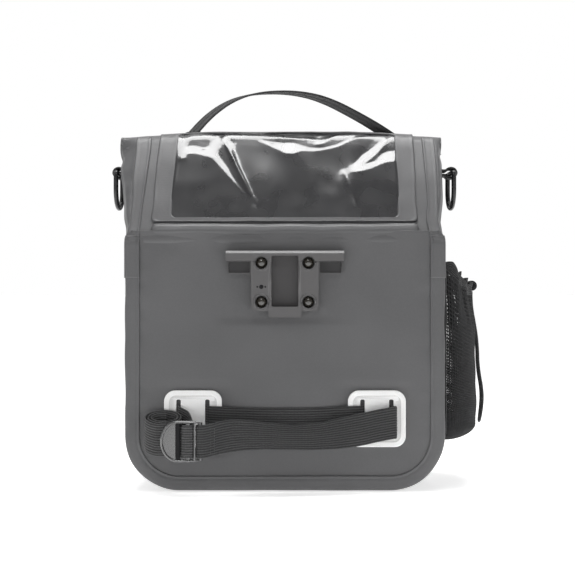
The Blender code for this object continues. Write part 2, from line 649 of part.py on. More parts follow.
def make_mesh_pocket(mats):
    across, up = 14, 10
    shells = []
    points = []
    for shrink in (0, MESH_THICKNESS):
        grid = []
        for j in range(up + 1):
            v = (j / up) ** 2
            row = []
            for i in range(across + 1):
                row.append(len(points))
                points.append(pocket_point(i / across, v, shrink))
            grid.append(row)
        shells.append(grid)
    faces = []
    for grid in shells:
        for j in range(up):
            for i in range(across):
                faces.append([grid[j][i], grid[j][i + 1], grid[j + 1][i + 1], grid[j + 1][i]])
    rims = []
    for grid in shells:
        left = [row[0] for row in reversed(grid)]
        right = [row[-1] for row in grid[1:]]
        rims.append(left + grid[0][1:] + right + list(reversed(grid[-1][1:-1])))
    rim_outer, rim_inner = rims
    count = len(rim_outer)
    for k in range(count):
        m = (k + 1) % count
        faces.append([rim_outer[k], rim_outer[m], rim_inner[m], rim_inner[k]])
    smooth(solid("mesh_pocket", points, faces, mats["pocket_mesh"]), 60)

    hem = []
    for i in range(across * 2 + 1):
        u = i / across / 2
        middle = (pocket_point(u, 1, 0) + pocket_point(u, 1, MESH_THICKNESS)) / 2
        hem.append(middle + Vector((0, 0, GAP + HEM_BAND / 2)))
    strip("pocket_hem", hem, HEM_BAND, 2.2 * MM, Vector((0, 0, 1)), mats["pocket_binding"])


# The drawcord's free loop: out of the lock, down the outside of the pocket and back. Millimetres.
DRAWCORD_ROUTE = [
    (153.6, -1.9, 155.4), (153.6, -2.0, 150.0), (154.2, -2.4, 141.0), (156.0, -2.9, 130.0),
    (157.7, -3.4, 119.0), (158.6, -3.9, 108.0), (159.0, -4.4, 97.0), (160.1, -4.9, 87.0),
    (161.6, -5.3, 78.0), (162.3, -5.6, 69.0), (161.8, -5.4, 60.0), (160.8, -4.2, 52.6),
    (160.2, -1.6, 48.8), (160.2, 1.6, 48.8), (160.8, 4.2, 52.6), (161.8, 5.4, 60.0),
    (162.3, 5.6, 69.0), (161.6, 5.3, 78.0), (160.1, 4.9, 87.0), (159.0, 4.4, 97.0),
    (158.6, 3.9, 108.0), (157.7, 3.4, 119.0), (156.0, 2.9, 130.0), (154.2, 2.4, 141.0),
    (153.6, 2.0, 150.0), (153.6, 1.9, 155.4)]


def make_drawcord(mats):
    """The free loop of elastic cord, and the lock that it comes out of."""
    path = smooth_path([Vector(p) * MM for p in DRAWCORD_ROUTE], 2)
    curve = bpy.data.curves.new("drawcord", "CURVE")
    curve.dimensions = "3D"
    curve.bevel_depth = CORD_DIAMETER / 2
    curve.bevel_resolution = 2
    curve.use_fill_caps = True
    spline = curve.splines.new("POLY")
    spline.points.add(len(path) - 1)
    for point, place in zip(spline.points, path):
        point.co = (*place, 1)
    curve.materials.append(mats["cord"])
    cord = bpy.data.objects.new("drawcord", curve)
    bpy.context.scene.collection.objects.link(cord)

    # The lock's barrel lies fore and aft; its button comes out of the end at -Y.
    bore = 3.0 * MM
    wall = [(0, 6 * MM), (LOCK_RADIUS - 0.6 * MM, 6 * MM), (LOCK_RADIUS, 5.4 * MM),
            (LOCK_RADIUS, -5.4 * MM), (LOCK_RADIUS - 0.4 * MM, -6 * MM), (bore, -6 * MM),
            (bore, 3.6 * MM), (0, 3.6 * MM)]
    turned("cord_lock_body", LOCK_CENTRE, (0, 1, 0), wall, mats["moulded_plastic"], 16)
    stem = bore - GAP
    button = [(0, 0.8 * MM), (stem, 0.8 * MM), (stem, -8.8 * MM), (stem - 0.5 * MM, -9.4 * MM),
              (0, -9.6 * MM)]
    button = turned("cord_lock_button", (0, 0, 0), (0, 1, 0), button, mats["moulded_plastic"], 16)
    pivot("lock_slide", LOCK_CENTRE, [button])
    button.location = (0, 0, 0)


# ---------------------------------------------------------------- closure flap

FLAP_ROUTE = [(16.5, 280.5), (23, 272.0), (30, 262.3), (38, 251.0), (46, 239.4), (54, 227.6),
              (61, 216.8), (66, 207.4), (68.7, 198.6), (69.3, 190.0), (69.3, 175.0), (69.3, 160.0)]


def make_flap(mats):
    path = smooth_path([Vector((0, y * MM, z * MM)) for y, z in FLAP_ROUTE], 2)
    foot = path[-1]
    widths = [2 * (FLAP_HALF_WIDTH + wall_x(point.z) - HALF_WIDTH) for point in path]
    steps = 6
    for i in range(steps + 1):
        angle = math.pi / 2 * i / steps
        down = FLAP_CORNER * math.sin(angle)
        path.append(Vector((0, foot.y, FLAP_BOTTOM + FLAP_CORNER - down)))
        widths.append(2 * (FLAP_HALF_WIDTH - FLAP_CORNER + FLAP_CORNER * math.cos(angle)))
    flap = strip("closure_flap", path, widths, SKIN, Vector((1, 0, 0)), mats["coated_fabric"])
    smooth(flap, 40)
    front = HALF_DEPTH + GAP
    box("loop_tape", (-90 * MM, front, 139 * MM), (90 * MM, front + 1.2 * MM, 164 * MM),
        mats["fastener_tape"])
    hook = box("hook_tape", (-90 * MM, front + 1.5 * MM, 139 * MM), (90 * MM, front + 2.7 * MM, 164 * MM),
               mats["fastener_tape"])
    pivot("flap_pivot", FLAP_AXIS, [flap, hook])


# ---------------------------------------------------------------- assembly

def main():
    for obj in list(bpy.data.objects):
        bpy.data.objects.remove(obj)
    mats = {
        "coated_fabric": material("coated_fabric", (0.13, 0.13, 0.135), 0.5),
        "weld_tape": material("weld_tape", (0.15, 0.15, 0.155), 0.42),
        "clear_film": material("clear_film", (0.05, 0.05, 0.055), 0.08, alpha=0.5),
        "board": material("board", (0.05, 0.05, 0.05), 0.7),
        "moulded_plastic": material("moulded_plastic", (0.06, 0.06, 0.065), 0.45),
        "white_plastic": material("white_plastic", (0.75, 0.75, 0.74), 0.4),
        "dark_steel": material("dark_steel", (0.08, 0.07, 0.06), 0.3, metallic=1.0),
        "ring_metal": material("ring_metal", (0.03, 0.03, 0.03), 0.25, metallic=0.6),
        "webbing": material("webbing", (0.04, 0.04, 0.042), 0.8),
        "pocket_mesh": material("pocket_mesh", (0.02, 0.02, 0.02), 0.8),
        "pocket_binding": material("pocket_binding", (0.025, 0.025, 0.025), 0.7),
        "cord": material("cord", (0.02, 0.02, 0.02), 0.7),
        "fastener_tape": material("fastener_tape", (0.03, 0.03, 0.03), 0.95),
    }
    back_panel = make_body(mats)
    make_upper_body(mats)
    back_board = make_boards(mats)
    make_map_pocket(mats)
    plate = make_adapter_plate(mats)
    backing = make_fasteners(mats)
    for hole in screw_hole_cutters():
        for clamped in (back_panel, back_board, plate, backing):
            combine(clamped, hole)
    make_strap_plates(mats)
    make_lower_strap(mats)
    buckle_pieces = make_buckle(mats)
    pivot("buckle_pivot", BUCKLE_AXIS, buckle_pieces)
    make_handle(mats)
    make_rings(mats)
    make_mesh_pocket(mats)
    make_drawcord(mats)
    make_flap(mats)


main()
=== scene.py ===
from math import copysign, cos, exp, hypot, pi, radians, sin, sqrt

import bmesh
import bpy
import numpy as np
from mathutils import Matrix, Vector, noise


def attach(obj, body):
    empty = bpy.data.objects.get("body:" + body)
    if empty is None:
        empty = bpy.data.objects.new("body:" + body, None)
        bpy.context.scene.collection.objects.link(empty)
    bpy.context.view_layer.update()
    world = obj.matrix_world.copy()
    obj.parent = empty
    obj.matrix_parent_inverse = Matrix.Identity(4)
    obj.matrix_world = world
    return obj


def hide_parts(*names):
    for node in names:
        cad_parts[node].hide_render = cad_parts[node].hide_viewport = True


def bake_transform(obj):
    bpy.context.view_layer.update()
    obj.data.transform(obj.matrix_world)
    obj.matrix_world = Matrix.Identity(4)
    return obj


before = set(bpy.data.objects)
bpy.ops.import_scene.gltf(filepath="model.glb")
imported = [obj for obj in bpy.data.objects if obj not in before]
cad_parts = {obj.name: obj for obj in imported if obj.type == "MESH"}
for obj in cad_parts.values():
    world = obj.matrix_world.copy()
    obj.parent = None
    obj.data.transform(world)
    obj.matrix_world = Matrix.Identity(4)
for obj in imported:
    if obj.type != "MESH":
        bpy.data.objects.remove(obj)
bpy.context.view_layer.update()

MM = 0.001

# Driving sizes of the bag, in millimetres, in the frame of the CAD model.
HALF_WIDTH = 125.0
HALF_DEPTH = 65.0
HEM_HEIGHT = 199.0
CORNER = 43.0
FLARE = 5.5
FLARE_HEIGHT = 75.0
SEAM_BAND = 11.5
WEBBING = 25.0
STRAP_PLATE_X, STRAP_PLATE_Z = 71.5, 56.4
SIDES = (("left", -1), ("right", 1))          # with the sign of X


def smoothstep(low, high, value):
    t = min(max((value - low) / (high - low), 0.0), 1.0)
    return t * t * (3 - 2 * t)


def ripple(x, y, z, scale, seed=0.0):
    """Smooth noise from about -1 to 1. The scale is the size of a ripple in millimetres."""
    return 2 * noise.noise(Vector((x / scale + seed, y / scale + 7.3 * seed, z / scale - 3.1 * seed)))


def mm(x, y, z):
    return Vector((x * MM, y * MM, z * MM))


def add_object(name, data):
    obj = bpy.data.objects.new(name, data)
    bpy.context.scene.collection.objects.link(obj)
    return obj


# ---- camera

CAMERA_DISTANCE = 1.10              # metres in front of the back panel
FRAMED_WIDTH = 0.4485               # metres across the frame at the back panel
CAMERA_X = 0.002
CAMERA_Z = 0.1585


def make_camera():
    data = bpy.data.cameras.new("Camera")
    data.sensor_width = 36
    data.lens = 36 * CAMERA_DISTANCE / FRAMED_WIDTH
    camera = add_object("Camera", data)
    camera.location = (CAMERA_X, -HALF_DEPTH * MM - CAMERA_DISTANCE, CAMERA_Z)
    camera.rotation_euler = (pi / 2, 0, 0)
    bpy.context.scene.camera = camera


make_camera()


# ---- materials, in metres

WEAVE_PITCH = 0.0009
PICK_PITCH, RIB_PITCH = 0.0011, 0.0019        # the webbing's threads along it and its ribs across it


class Finish:
    """A Principled material, with short ways to add its procedural nodes."""

    def __init__(self, name, colour, roughness, **inputs):
        self.mat = bpy.data.materials.new(name)
        self.mat.use_nodes = True
        self.tree = self.mat.node_tree
        self.shader = self.tree.nodes["Principled BSDF"]
        self.shader.inputs["Base Color"].default_value = (*colour, 1)
        self.shader.inputs["Roughness"].default_value = roughness
        for key, value in inputs.items():
            self.shader.inputs[key.replace("_", " ")].default_value = value
        self.colour = colour
        self.roughness = roughness
        self.place = self.node("ShaderNodeTexCoord").outputs["Object"]

    def node(self, kind, settings=None, **inputs):
        made = self.tree.nodes.new(kind)
        for key, value in (settings or {}).items():
            setattr(made, key, value)
        for key, value in inputs.items():
            socket = made.inputs[int(key[1:])] if key[0] == "i" and key[1:].isdigit() else made.inputs[key]
            if isinstance(value, bpy.types.NodeSocket):
                self.tree.links.new(value, socket)
            else:
                socket.default_value = value
        return made

    def math(self, operation, first, second=0.0):
        return self.node("ShaderNodeMath", {"operation": operation}, i0=first, i1=second).outputs[0]

    def both(self, first, share, second):
        """Two factors added up: the first with its share, the second with the rest."""
        return self.math("ADD", self.math("MULTIPLY", first, share), self.math("MULTIPLY", second, 1 - share))

    def noise(self, scale, detail=3, rough=0.5):
        made = self.node("ShaderNodeTexNoise", Vector=self.place, Scale=scale, Detail=detail, Roughness=rough)
        return made.outputs["Fac"]

    def cells(self, scale):
        return self.node("ShaderNodeTexVoronoi", Vector=self.place, Scale=scale).outputs["Distance"]

    def wave(self, pitch, direction, place=None):
        """Bands with a pitch in metres. A wave texture makes ten radians of phase from each half unit."""
        made = self.node("ShaderNodeTexWave", {"bands_direction": direction}, Vector=place or self.place,
                         Scale=2 * pi / (20 * pitch), Distortion=0.0)
        return made.outputs["Fac"]

    def spread(self, value, low, high):
        return self.node("ShaderNodeMapRange", i0=value, i1=0.25, i2=0.75, i3=low, i4=high).outputs[0]

    def tint(self, factor, low=0.9, high=1.1):
        """The base colour, made darker and lighter by a 0 to 1 factor."""
        amount = self.spread(factor, low, high)
        made = self.node("ShaderNodeMix", {"data_type": "RGBA", "blend_type": "MULTIPLY"}, i0=1.0,
                         i6=(*self.colour, 1))
        self.tree.links.new(self.node("ShaderNodeCombineColor", Red=amount, Green=amount,
                                      Blue=amount).outputs[0], made.inputs[7])
        self.tree.links.new(made.outputs[2], self.shader.inputs["Base Color"])

    def vary_roughness(self, factor, amount):
        value = self.spread(factor, self.roughness - amount, self.roughness + amount)
        self.tree.links.new(value, self.shader.inputs["Roughness"])

    def bump(self, *layers):
        """Each layer is a height from 0 to 1 and its depth in metres, from the coarsest to the finest."""
        normal = None
        for height, depth in layers:
            made = self.node("ShaderNodeBump", Height=height, Distance=depth, Strength=1.0)
            if normal:
                self.tree.links.new(normal, made.inputs["Normal"])
            normal = made.outputs["Normal"]
        self.tree.links.new(normal, self.shader.inputs["Normal"])


def coated_fabric(name, colour, roughness):
    """Woven polyester under a satin film: the weave prints faintly through a smooth coat."""
    finish = Finish(name, colour, roughness, Coat_Weight=0.12, Coat_Roughness=0.32)
    weave = finish.wave(WEAVE_PITCH, "X")
    for direction in "ZY":
        weave = finish.math("ADD", weave, finish.wave(WEAVE_PITCH, direction))
    grain = finish.noise(700, 2)
    finish.tint(finish.both(finish.noise(9, 3, 0.55), 0.75, grain), 0.84, 1.16)
    finish.vary_roughness(finish.noise(30), 0.05)
    finish.bump((finish.noise(16, 2), 0.0006), (finish.noise(55, 4), 0.00016), (weave, 0.000012),
                (grain, 0.00003))
    return finish.mat


def clear_film():
    finish = Finish("clear_film_finish", (0.026, 0.026, 0.028), 0.29, Coat_Weight=1.0, Coat_Roughness=0.04,
                    Specular_IOR_Level=0.7, Alpha=0.86)
    finish.vary_roughness(finish.noise(60, 1), 0.05)
    finish.tint(finish.noise(25, 1), 0.8, 1.25)
    finish.bump((finish.noise(40, 1), 0.00006))
    return finish.mat


def webbing_finish(name, colour):
    """Herringbone threads. The UV map holds metres along and across the strap."""
    finish = Finish(name, colour, 0.78, Sheen_Weight=0.12, Sheen_Roughness=0.5)
    place = finish.node("ShaderNodeUVMap", {"uv_map": "strap"}).outputs[0]
    threads = finish.math("MULTIPLY", finish.wave(PICK_PITCH, "X", place), 0.4)
    picks = finish.math("MULTIPLY", finish.wave(RIB_PITCH, "Y", place), finish.math("ADD", threads, 0.6))
    fibres = finish.noise(2500, 2)
    # The weave's raised threads are tinted lighter as a painted highlight; the fibre noise varies the tone at
    # random.
    finish.tint(finish.both(picks, 0.6, fibres), 0.35, 2.0)
    finish.bump((picks, 0.0004), (fibres, 0.0001))
    return finish.mat


def moulded(name, colour, roughness, **inputs):
    """Spark-eroded mould grain, with the edges painted paler as a painted highlight and the creases painted
    darker as painted shade.
    """
    finish = Finish(name, colour, roughness, **inputs)
    grain = finish.noise(1400, 3, 0.6)
    bend = finish.node("ShaderNodeNewGeometry").outputs["Pointiness"]
    # Painted highlight on the edges and painted shade in the creases, both from the pointiness.
    edge_highlight_and_crevice_shade = finish.node("ShaderNodeMapRange", i0=bend, i1=0.48, i2=0.56, i3=0.3, i4=0.85).outputs[0]
    finish.tint(finish.both(edge_highlight_and_crevice_shade, 0.7, grain), 0.85, 1.35)
    finish.vary_roughness(finish.noise(90), 0.06)
    finish.bump((finish.noise(160, 2), 0.00004), (grain, 0.00004))
    return finish.mat


def fine_grained(name, colour, roughness, **inputs):
    """A small hard surface with a fine grain: metal, thread or net."""
    finish = Finish(name, colour, roughness, **inputs)
    grain = finish.noise(500, 4, 0.7)
    finish.tint(grain, 0.7, 1.3)
    finish.vary_roughness(finish.noise(220), 0.08)
    finish.bump((grain, 0.00002))
    return finish.mat


def braided_cord():
    finish = Finish("cord_finish", (0.018, 0.018, 0.019), 0.7, Sheen_Weight=0.2)
    lay = finish.cells(1300)
    finish.tint(lay, 0.6, 2.2)
    finish.bump((lay, 0.00025))
    return finish.mat


def fuzzy_tape():
    finish = Finish("fastener_tape_finish", (0.022, 0.022, 0.023), 0.95, Sheen_Weight=0.4)
    pile = finish.cells(1 / 0.0011)
    finish.tint(pile, 0.5, 1.7)
    finish.bump((pile, 0.0004), (finish.noise(1800, 2), 0.0002))
    return finish.mat


def board_finish():
    finish = Finish("board_finish", (0.045, 0.045, 0.047), 0.62)
    finish.tint(finish.noise(40, 4), 0.8, 1.25)
    finish.bump((finish.noise(260), 0.0001))
    return finish.mat


FABRIC = coated_fabric("coated_fabric_finish", (0.098, 0.098, 0.101), 0.47)
SEAM = coated_fabric("weld_seam_finish", (0.101, 0.101, 0.104), 0.4)
LINING = coated_fabric("lining_finish", (0.10, 0.10, 0.105), 0.6)
FILM = clear_film()
STRAP = webbing_finish("webbing_finish", (0.034, 0.034, 0.035))
# The rolled tail is the strap's own webbing made lighter: painted light on the roll.
LIT_TAIL_STRAP = webbing_finish("lit_tail_webbing_finish", (0.05, 0.05, 0.051))
DARK_STRAP = webbing_finish("dark_webbing_finish", (0.02, 0.02, 0.021))
THREAD = fine_grained("thread_finish", (0.03, 0.03, 0.03), 0.6, Sheen_Weight=0.3)
PLATE = moulded("adapter_plastic_finish", (0.066, 0.064, 0.065), 0.36, Coat_Weight=0.2, Coat_Roughness=0.2)
# Black cord-lock plastic; the same black also serves as painted shade on the buckle's shade bar and on the dark
# discs of the left pillar.
LOCK = moulded("lock_plastic_finish", (0.010, 0.010, 0.011), 0.6, Specular_IOR_Level=0.15)
# Darker floor for the mount's channel: painted shade in the recess, which is the plate's own plastic.
CHANNEL_SHADE = moulded("channel_painted_shade_finish", (0.042, 0.040, 0.041), 0.5)
# Near-black floor for the wing recesses: painted shade under the rail.
WING_SHADE = moulded("wing_painted_shade_finish", (0.026, 0.025, 0.026), 0.55)
BUCKLE = moulded("buckle_plastic_finish", (0.045, 0.045, 0.046), 0.2, Specular_IOR_Level=1.0, Coat_Weight=1.0,
                 Coat_Roughness=0.06)
WHITE = moulded("white_plastic_finish", (0.8, 0.8, 0.795), 0.36, Subsurface_Weight=0.12,
                Subsurface_Radius=(0.004, 0.004, 0.004))
SCREW = fine_grained("screw_finish", (0.03, 0.026, 0.02), 0.16, IOR=1.8, Coat_Weight=0.5)
RING = fine_grained("ring_finish", (0.010, 0.010, 0.011), 0.3, Coat_Weight=0.25, Coat_Roughness=0.15)
NET = fine_grained("net_finish", (0.03, 0.03, 0.031), 0.7)
BINDING = webbing_finish("binding_finish", (0.026, 0.026, 0.027))
CORD = braided_cord()
TAPE = fuzzy_tape()
BOARD = board_finish()


# ---- mesh helpers

def mesh_object(name, points, faces, mat, sharp=None):
    mesh = bpy.data.meshes.new(name)
    mesh.from_pydata([tuple(p) for p in points], [], faces)
    mesh.materials.append(mat)
    mesh.shade_smooth()
    if sharp:
        mesh.set_sharp_from_angle(angle=radians(sharp))
    return add_object(name, mesh)


def outward(obj):
    shell = bmesh.new()
    shell.from_mesh(obj.data)
    bmesh.ops.recalc_face_normals(shell, faces=shell.faces)
    shell.to_mesh(obj.data)
    shell.free()
    return obj


def modify(obj, kind, **settings):
    """Run one modifier and keep what it makes as the object's own mesh."""
    modifier = obj.modifiers.new(kind.title(), kind)
    for key, value in settings.items():
        setattr(modifier, key, value)
    bpy.context.view_layer.update()
    graph = bpy.context.evaluated_depsgraph_get()
    mesh = bpy.data.meshes.new_from_object(obj.evaluated_get(graph))
    obj.modifiers.clear()
    obj.data = mesh
    return obj


def add_thickness(obj, thickness):
    return modify(obj, "SOLIDIFY", thickness=thickness * MM, offset=-1.0, use_even_offset=False)


def check_side(obj, direction, chosen=lambda face: True):
    """Turn an open sheet over if its chosen faces look the wrong way."""
    total = sum((face.normal for face in obj.data.polygons if chosen(face)), Vector())
    if total.dot(Vector(direction)) < 0:
        obj.data.flip_normals()


def grid_sheet(name, point, columns, rows, mat, thickness=0.0, flip=False):
    """A sheet of points point(u, v) in millimetres. It gets its thickness on its back face."""
    points = [mm(*point(i / columns, j / rows)) for j in range(rows + 1) for i in range(columns + 1)]
    faces = []
    for j in range(rows):
        for i in range(columns):
            a = j * (columns + 1) + i
            face = [a, a + 1, a + columns + 2, a + columns + 1]
            faces.append(face[::-1] if flip else face)
    obj = mesh_object(name, points, faces, mat)
    return add_thickness(obj, thickness) if thickness else obj


def ring_loft(name, loops, mat, closed_rings=True, closed_sections=False, sharp=None):
    """Faces between loops of points. A loop can be open or closed, and so can the row of loops."""
    count = len(loops[0])
    faces = []
    for i in range(len(loops) if closed_sections else len(loops) - 1):
        n = (i + 1) % len(loops)
        for k in range(count if closed_rings else count - 1):
            m = (k + 1) % count
            faces.append([i * count + k, i * count + m, n * count + m, n * count + k])
    if closed_rings and not closed_sections:
        faces += [list(range(count))[::-1], [(len(loops) - 1) * count + k for k in range(count)]]
    return outward(mesh_object(name, [p for loop in loops for p in loop], faces, mat, sharp))


def smooth_path(route, per_span):
    """Points along a Catmull-Rom curve through the route."""
    ends = [2 * route[0] - route[1]] + route + [2 * route[-1] - route[-2]]
    path = []
    for a, b, c, d in zip(ends, ends[1:], ends[2:], ends[3:]):
        for t in (step / per_span for step in range(per_span)):
            path.append(0.5 * (2 * b + (c - a) * t + (2 * a - 5 * b + 4 * c - d) * t ** 2
                               + (3 * b - a - 3 * c + d) * t ** 3))
    return path + [route[-1]]


def arc(cx, cy, radius, first, last, steps, tall=None):
    """Points of an arc. Its angles are in half turns, and an ellipse has its own second radius."""
    angles = [pi * (first + (last - first) * i / steps) for i in range(steps + 1)]
    return [(cx + radius * cos(a), cy + (tall or radius) * sin(a)) for a in angles]


def circle(centre, first, second, sides):
    """A ring of points in metres. The two vectors are its radii."""
    angles = [2 * pi * i / sides for i in range(sides)]
    return [centre + first * cos(a) + second * sin(a) for a in angles]


def rounded_rectangle(centre, half, radius, steps=6):
    points = []
    for corner, (sx, sy) in enumerate(((1, 1), (-1, 1), (-1, -1), (1, -1))):
        points += arc(centre[0] + sx * (half[0] - radius), centre[1] + sy * (half[1] - radius), radius,
                      corner / 2, (corner + 1) / 2, steps)
    return points


def prism(name, outline, low, high, mat, axis="Y"):
    """An outline in millimetres pulled along an axis."""
    at = "XYZ".index(axis)
    loops = [[mm(*pair[:at], level, *pair[at:]) for pair in outline] for level in (low, high)]
    return ring_loft(name, loops, mat, sharp=35)


def combine(obj, other, operation="DIFFERENCE"):
    modify(obj, "BOOLEAN", operation=operation, solver="EXACT", object=other)
    bpy.data.objects.remove(other)


def soften(obj, width, segments=3):
    """Round every hard edge, as a moulded part has them, and keep the flat faces flat."""
    modify(obj, "BEVEL", width=width * MM, segments=segments, limit_method="ANGLE",
           angle_limit=radians(38))
    obj.data.shade_smooth()
    modify(obj, "WEIGHTED_NORMAL", mode="FACE_AREA", weight=100)


def turned(name, centre, axis, profile, mat, sides=32):
    """A body turned round an axis. The profile lists radius and distance along the axis, in millimetres."""
    axis = Vector(axis).normalized()
    across = axis.orthogonal().normalized()
    up = axis.cross(across)
    loops = []
    for radius, along in profile:
        size = max(radius, 0.01) * MM
        loops.append(circle(mm(*centre) + axis * (along * MM), across * size, up * size, sides))
    return ring_loft(name, loops, mat, sharp=40)


def rod(name, start, end, radius, mat, sides=24):
    along = Vector(end) - Vector(start)
    return turned(name, start, along, [(radius, 0), (radius, along.length)], mat, sides)


def add_strap_uv(obj, section, place=lambda i, k: (i * 0.001, k * 0.0024)):
    """Metres along and across the strap for each point of a row of equal sections."""
    layer = obj.data.uv_layers.new(name="strap")
    for loop in obj.data.loops:
        layer.data[loop.index].uv = place(*divmod(loop.vertex_index, section))


def webbing(name, path, width, thickness, sides, mat, ribs=10):
    """Ribbed webbing swept along a path in metres. sides gives the direction of the width at each point."""
    last = len(path) - 1
    sides = sides if isinstance(sides, list) else [sides] * (last + 1)
    across = []
    steps = ribs * 4
    for k in range(steps + 1):
        t = k / steps
        height = thickness / 2 * (0.72 + 0.28 * abs(sin(pi * ribs * t)))
        across.append((width * (0.5 - t), height * min(1.0, 4 * sqrt(max(t * (1 - t), 0.004)))))
    section = across + [(w, -h) for w, h in reversed(across)]
    loops, travel = [], [0.0]
    for i, point in enumerate(path):
        if i:
            travel.append(travel[-1] + (point - path[i - 1]).length)
        side = sides[i].normalized()
        normal = (path[min(i + 1, last)] - path[max(i - 1, 0)]).cross(side).normalized()
        loops.append([point + (side * w + normal * h) * MM for w, h in section])
    obj = ring_loft(name, loops, mat)
    add_strap_uv(obj, len(section), lambda i, k: (travel[i], section[k][0] * MM))
    return obj


def piece(obj, body="root", replaces=()):
    if body:
        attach(obj, body)
    if replaces:
        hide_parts(*replaces)
    return obj


def stitches(name, path, normal):
    """A row of short arched threads along a path in metres, standing on a surface with this normal."""
    pitch, length, thick = 2.6, 1.9, 0.22
    arch = ((0, -0.15, 0.6), (0.25, 0.2, 1), (0.5, 0.26, 1), (0.75, 0.2, 1), (1, -0.15, 0.6))
    points, faces = [], []
    normal = Vector(normal)
    for start, end in zip(path, path[1:]):
        along = (end - start).normalized()
        across = along.cross(normal)
        for k in range(max(int((end - start).length / MM / pitch), 1)):
            first = len(points)
            for where, lift, share in arch:
                middle = start + along * ((k * pitch + 0.3 + where * length) * MM) + normal * (lift * MM)
                points += circle(middle, across * (thick * share * MM), normal * (thick * share * MM), 6)
            for a in range(first, first + 24, 6):
                faces += [[a + i, a + (i + 1) % 6, a + 6 + (i + 1) % 6, a + 6 + i] for i in range(6)]
            faces.append([first + i for i in range(6)][::-1])
            faces.append([first + 24 + i for i in range(6)])
    piece(outward(mesh_object(name, points, faces, THREAD)))


# ---- drawcord

CORD_DIAMETER = 2.2
# X, Y and Z down the near strand to the end loop. The far strand mirrors it.
NEAR_STRAND = [
    (153.6, -1.9, 155.4), (153.6, -2, 150), (154.2, -2.4, 141), (156, -2.9, 130), (157.7, -3.4, 119),
    (158.6, -3.9, 108), (159, -4.4, 97), (160.1, -4.9, 87), (161.6, -5.3, 78), (162.3, -5.6, 69),
    (161.8, -5.4, 60), (160.8, -4.2, 52.6), (160.2, -1.6, 48.8)]


def round_curve(name, path, radius, mat, closed=False, resolution=4):
    """A round wire or cord along a path in metres."""
    curve = bpy.data.curves.new(name, "CURVE")
    curve.dimensions = "3D"
    curve.bevel_depth = radius * MM
    curve.bevel_resolution = resolution
    curve.use_fill_caps = not closed
    spline = curve.splines.new("POLY")
    spline.points.add(len(path) - 1)
    spline.points.foreach_set("co", [value for point in path for value in (*point, 1)])
    spline.use_cyclic_u = closed
    curve.materials.append(mat)
    return add_object(name, curve)


def make_drawcord():
    route = NEAR_STRAND + [(x, -y, z) for x, y, z in reversed(NEAR_STRAND)]
    path = smooth_path([mm(*p) for p in route], 4)
    cord = round_curve("elastic_drawcord", path, CORD_DIAMETER / 2, CORD)
    piece(cord, replaces=("drawcord",))


make_drawcord()


# ---- bag body

SIDE_LENGTH = HEM_HEIGHT - CORNER
ARC_LENGTH = pi / 2 * CORNER
BASE_LENGTH = 2 * (HALF_WIDTH - CORNER)
OUTLINE_LENGTH = 2 * SIDE_LENGTH + 2 * ARC_LENGTH + BASE_LENGTH


def outline_point(distance):
    """Position and outward direction in X and Z, going down the left side, along the base and up."""
    from_middle = distance - OUTLINE_LENGTH / 2
    sign = copysign(1, from_middle)
    past = abs(from_middle) - BASE_LENGTH / 2
    if past < 0:
        return from_middle, 0, 0, -1.0
    angle = min(past / CORNER, pi / 2)
    nx, nz = sign * sin(angle), -cos(angle)
    rise = max(past - ARC_LENGTH, 0)
    return sign * (HALF_WIDTH - CORNER) + CORNER * nx, CORNER + CORNER * nz + rise, nx, nz


def wall_x(height):
    return HALF_WIDTH + FLARE * max(0, height - HEM_HEIGHT) / FLARE_HEIGHT


def gusset_section():
    """Inset from the outer face and depth, from the back seam's inner edge round to the front one."""
    band = SEAM_BAND
    flange = [(band + 0.2, -65), (band, -65.9), (band - 0.5, -66.15), (band - 1.3, -66.1), (band - 2, -65.75),
              (band - 2.7, -66), (7, -66.1), (4.5, -66.15), (2.6, -66.1), (1.3, -65.8), (0.45, -65.1),
              (0.1, -64), (0, -62.5)]
    middle = [(0, -62.5 + 125 * k / 26) for k in range(1, 26)]
    return flange + middle + [(inset, -depth) for inset, depth in reversed(flange)]


def make_gusset():
    section = gusset_section()
    steps = 300
    loops = []
    for i in range(steps + 1):
        distance = OUTLINE_LENGTH * i / steps
        x, z, nx, nz = outline_point(distance)
        on_base = z < 1
        loop = []
        for inset, depth in section:
            wall = abs(depth) < 62.5
            sag = 2.2 * cos(pi / 2 * depth / 66) ** 2 * wall * (0.35 if on_base else 1)
            wrinkle = 0.9 * ripple(distance, depth * 0.6, 0, 34, 1.7) * smoothstep(62, 45, abs(depth))
            edge = 0.35 * ripple(distance, 0, depth, 28, 4.1) * (0.4 if on_base else 1)
            proud = 0.22 * ripple(distance, inset * 2, 0, 13, 2.2) * (abs(depth) >= 64.9)
            inward = inset + max(sag + wrinkle, -0.6) + edge * smoothstep(12, 3, inset)
            inward = max(inward, 0) if on_base else inward
            loop.append(mm(x - nx * inward, depth + copysign(proud, depth), z - nz * inward))
        loops.append(loop)
    skin = ring_loft("gusset_skin", loops, SEAM, closed_rings=False)
    check_side(skin, (0, 0, -1), lambda face: face.center.z < 1.2 * MM and abs(face.center.y) < 50 * MM)
    add_thickness(skin, 1)
    piece(skin, replaces=("gusset", "back_weld_band", "front_weld_band"))


def half_width_at(z, inset):
    """Half the panel's width at a height, inside the rounded lower corners."""
    radius = CORNER - inset
    if z >= CORNER:
        return HALF_WIDTH - inset
    rise = max(0, min(CORNER - z, radius))
    return HALF_WIDTH - CORNER + sqrt(max(radius ** 2 - rise ** 2, 0))


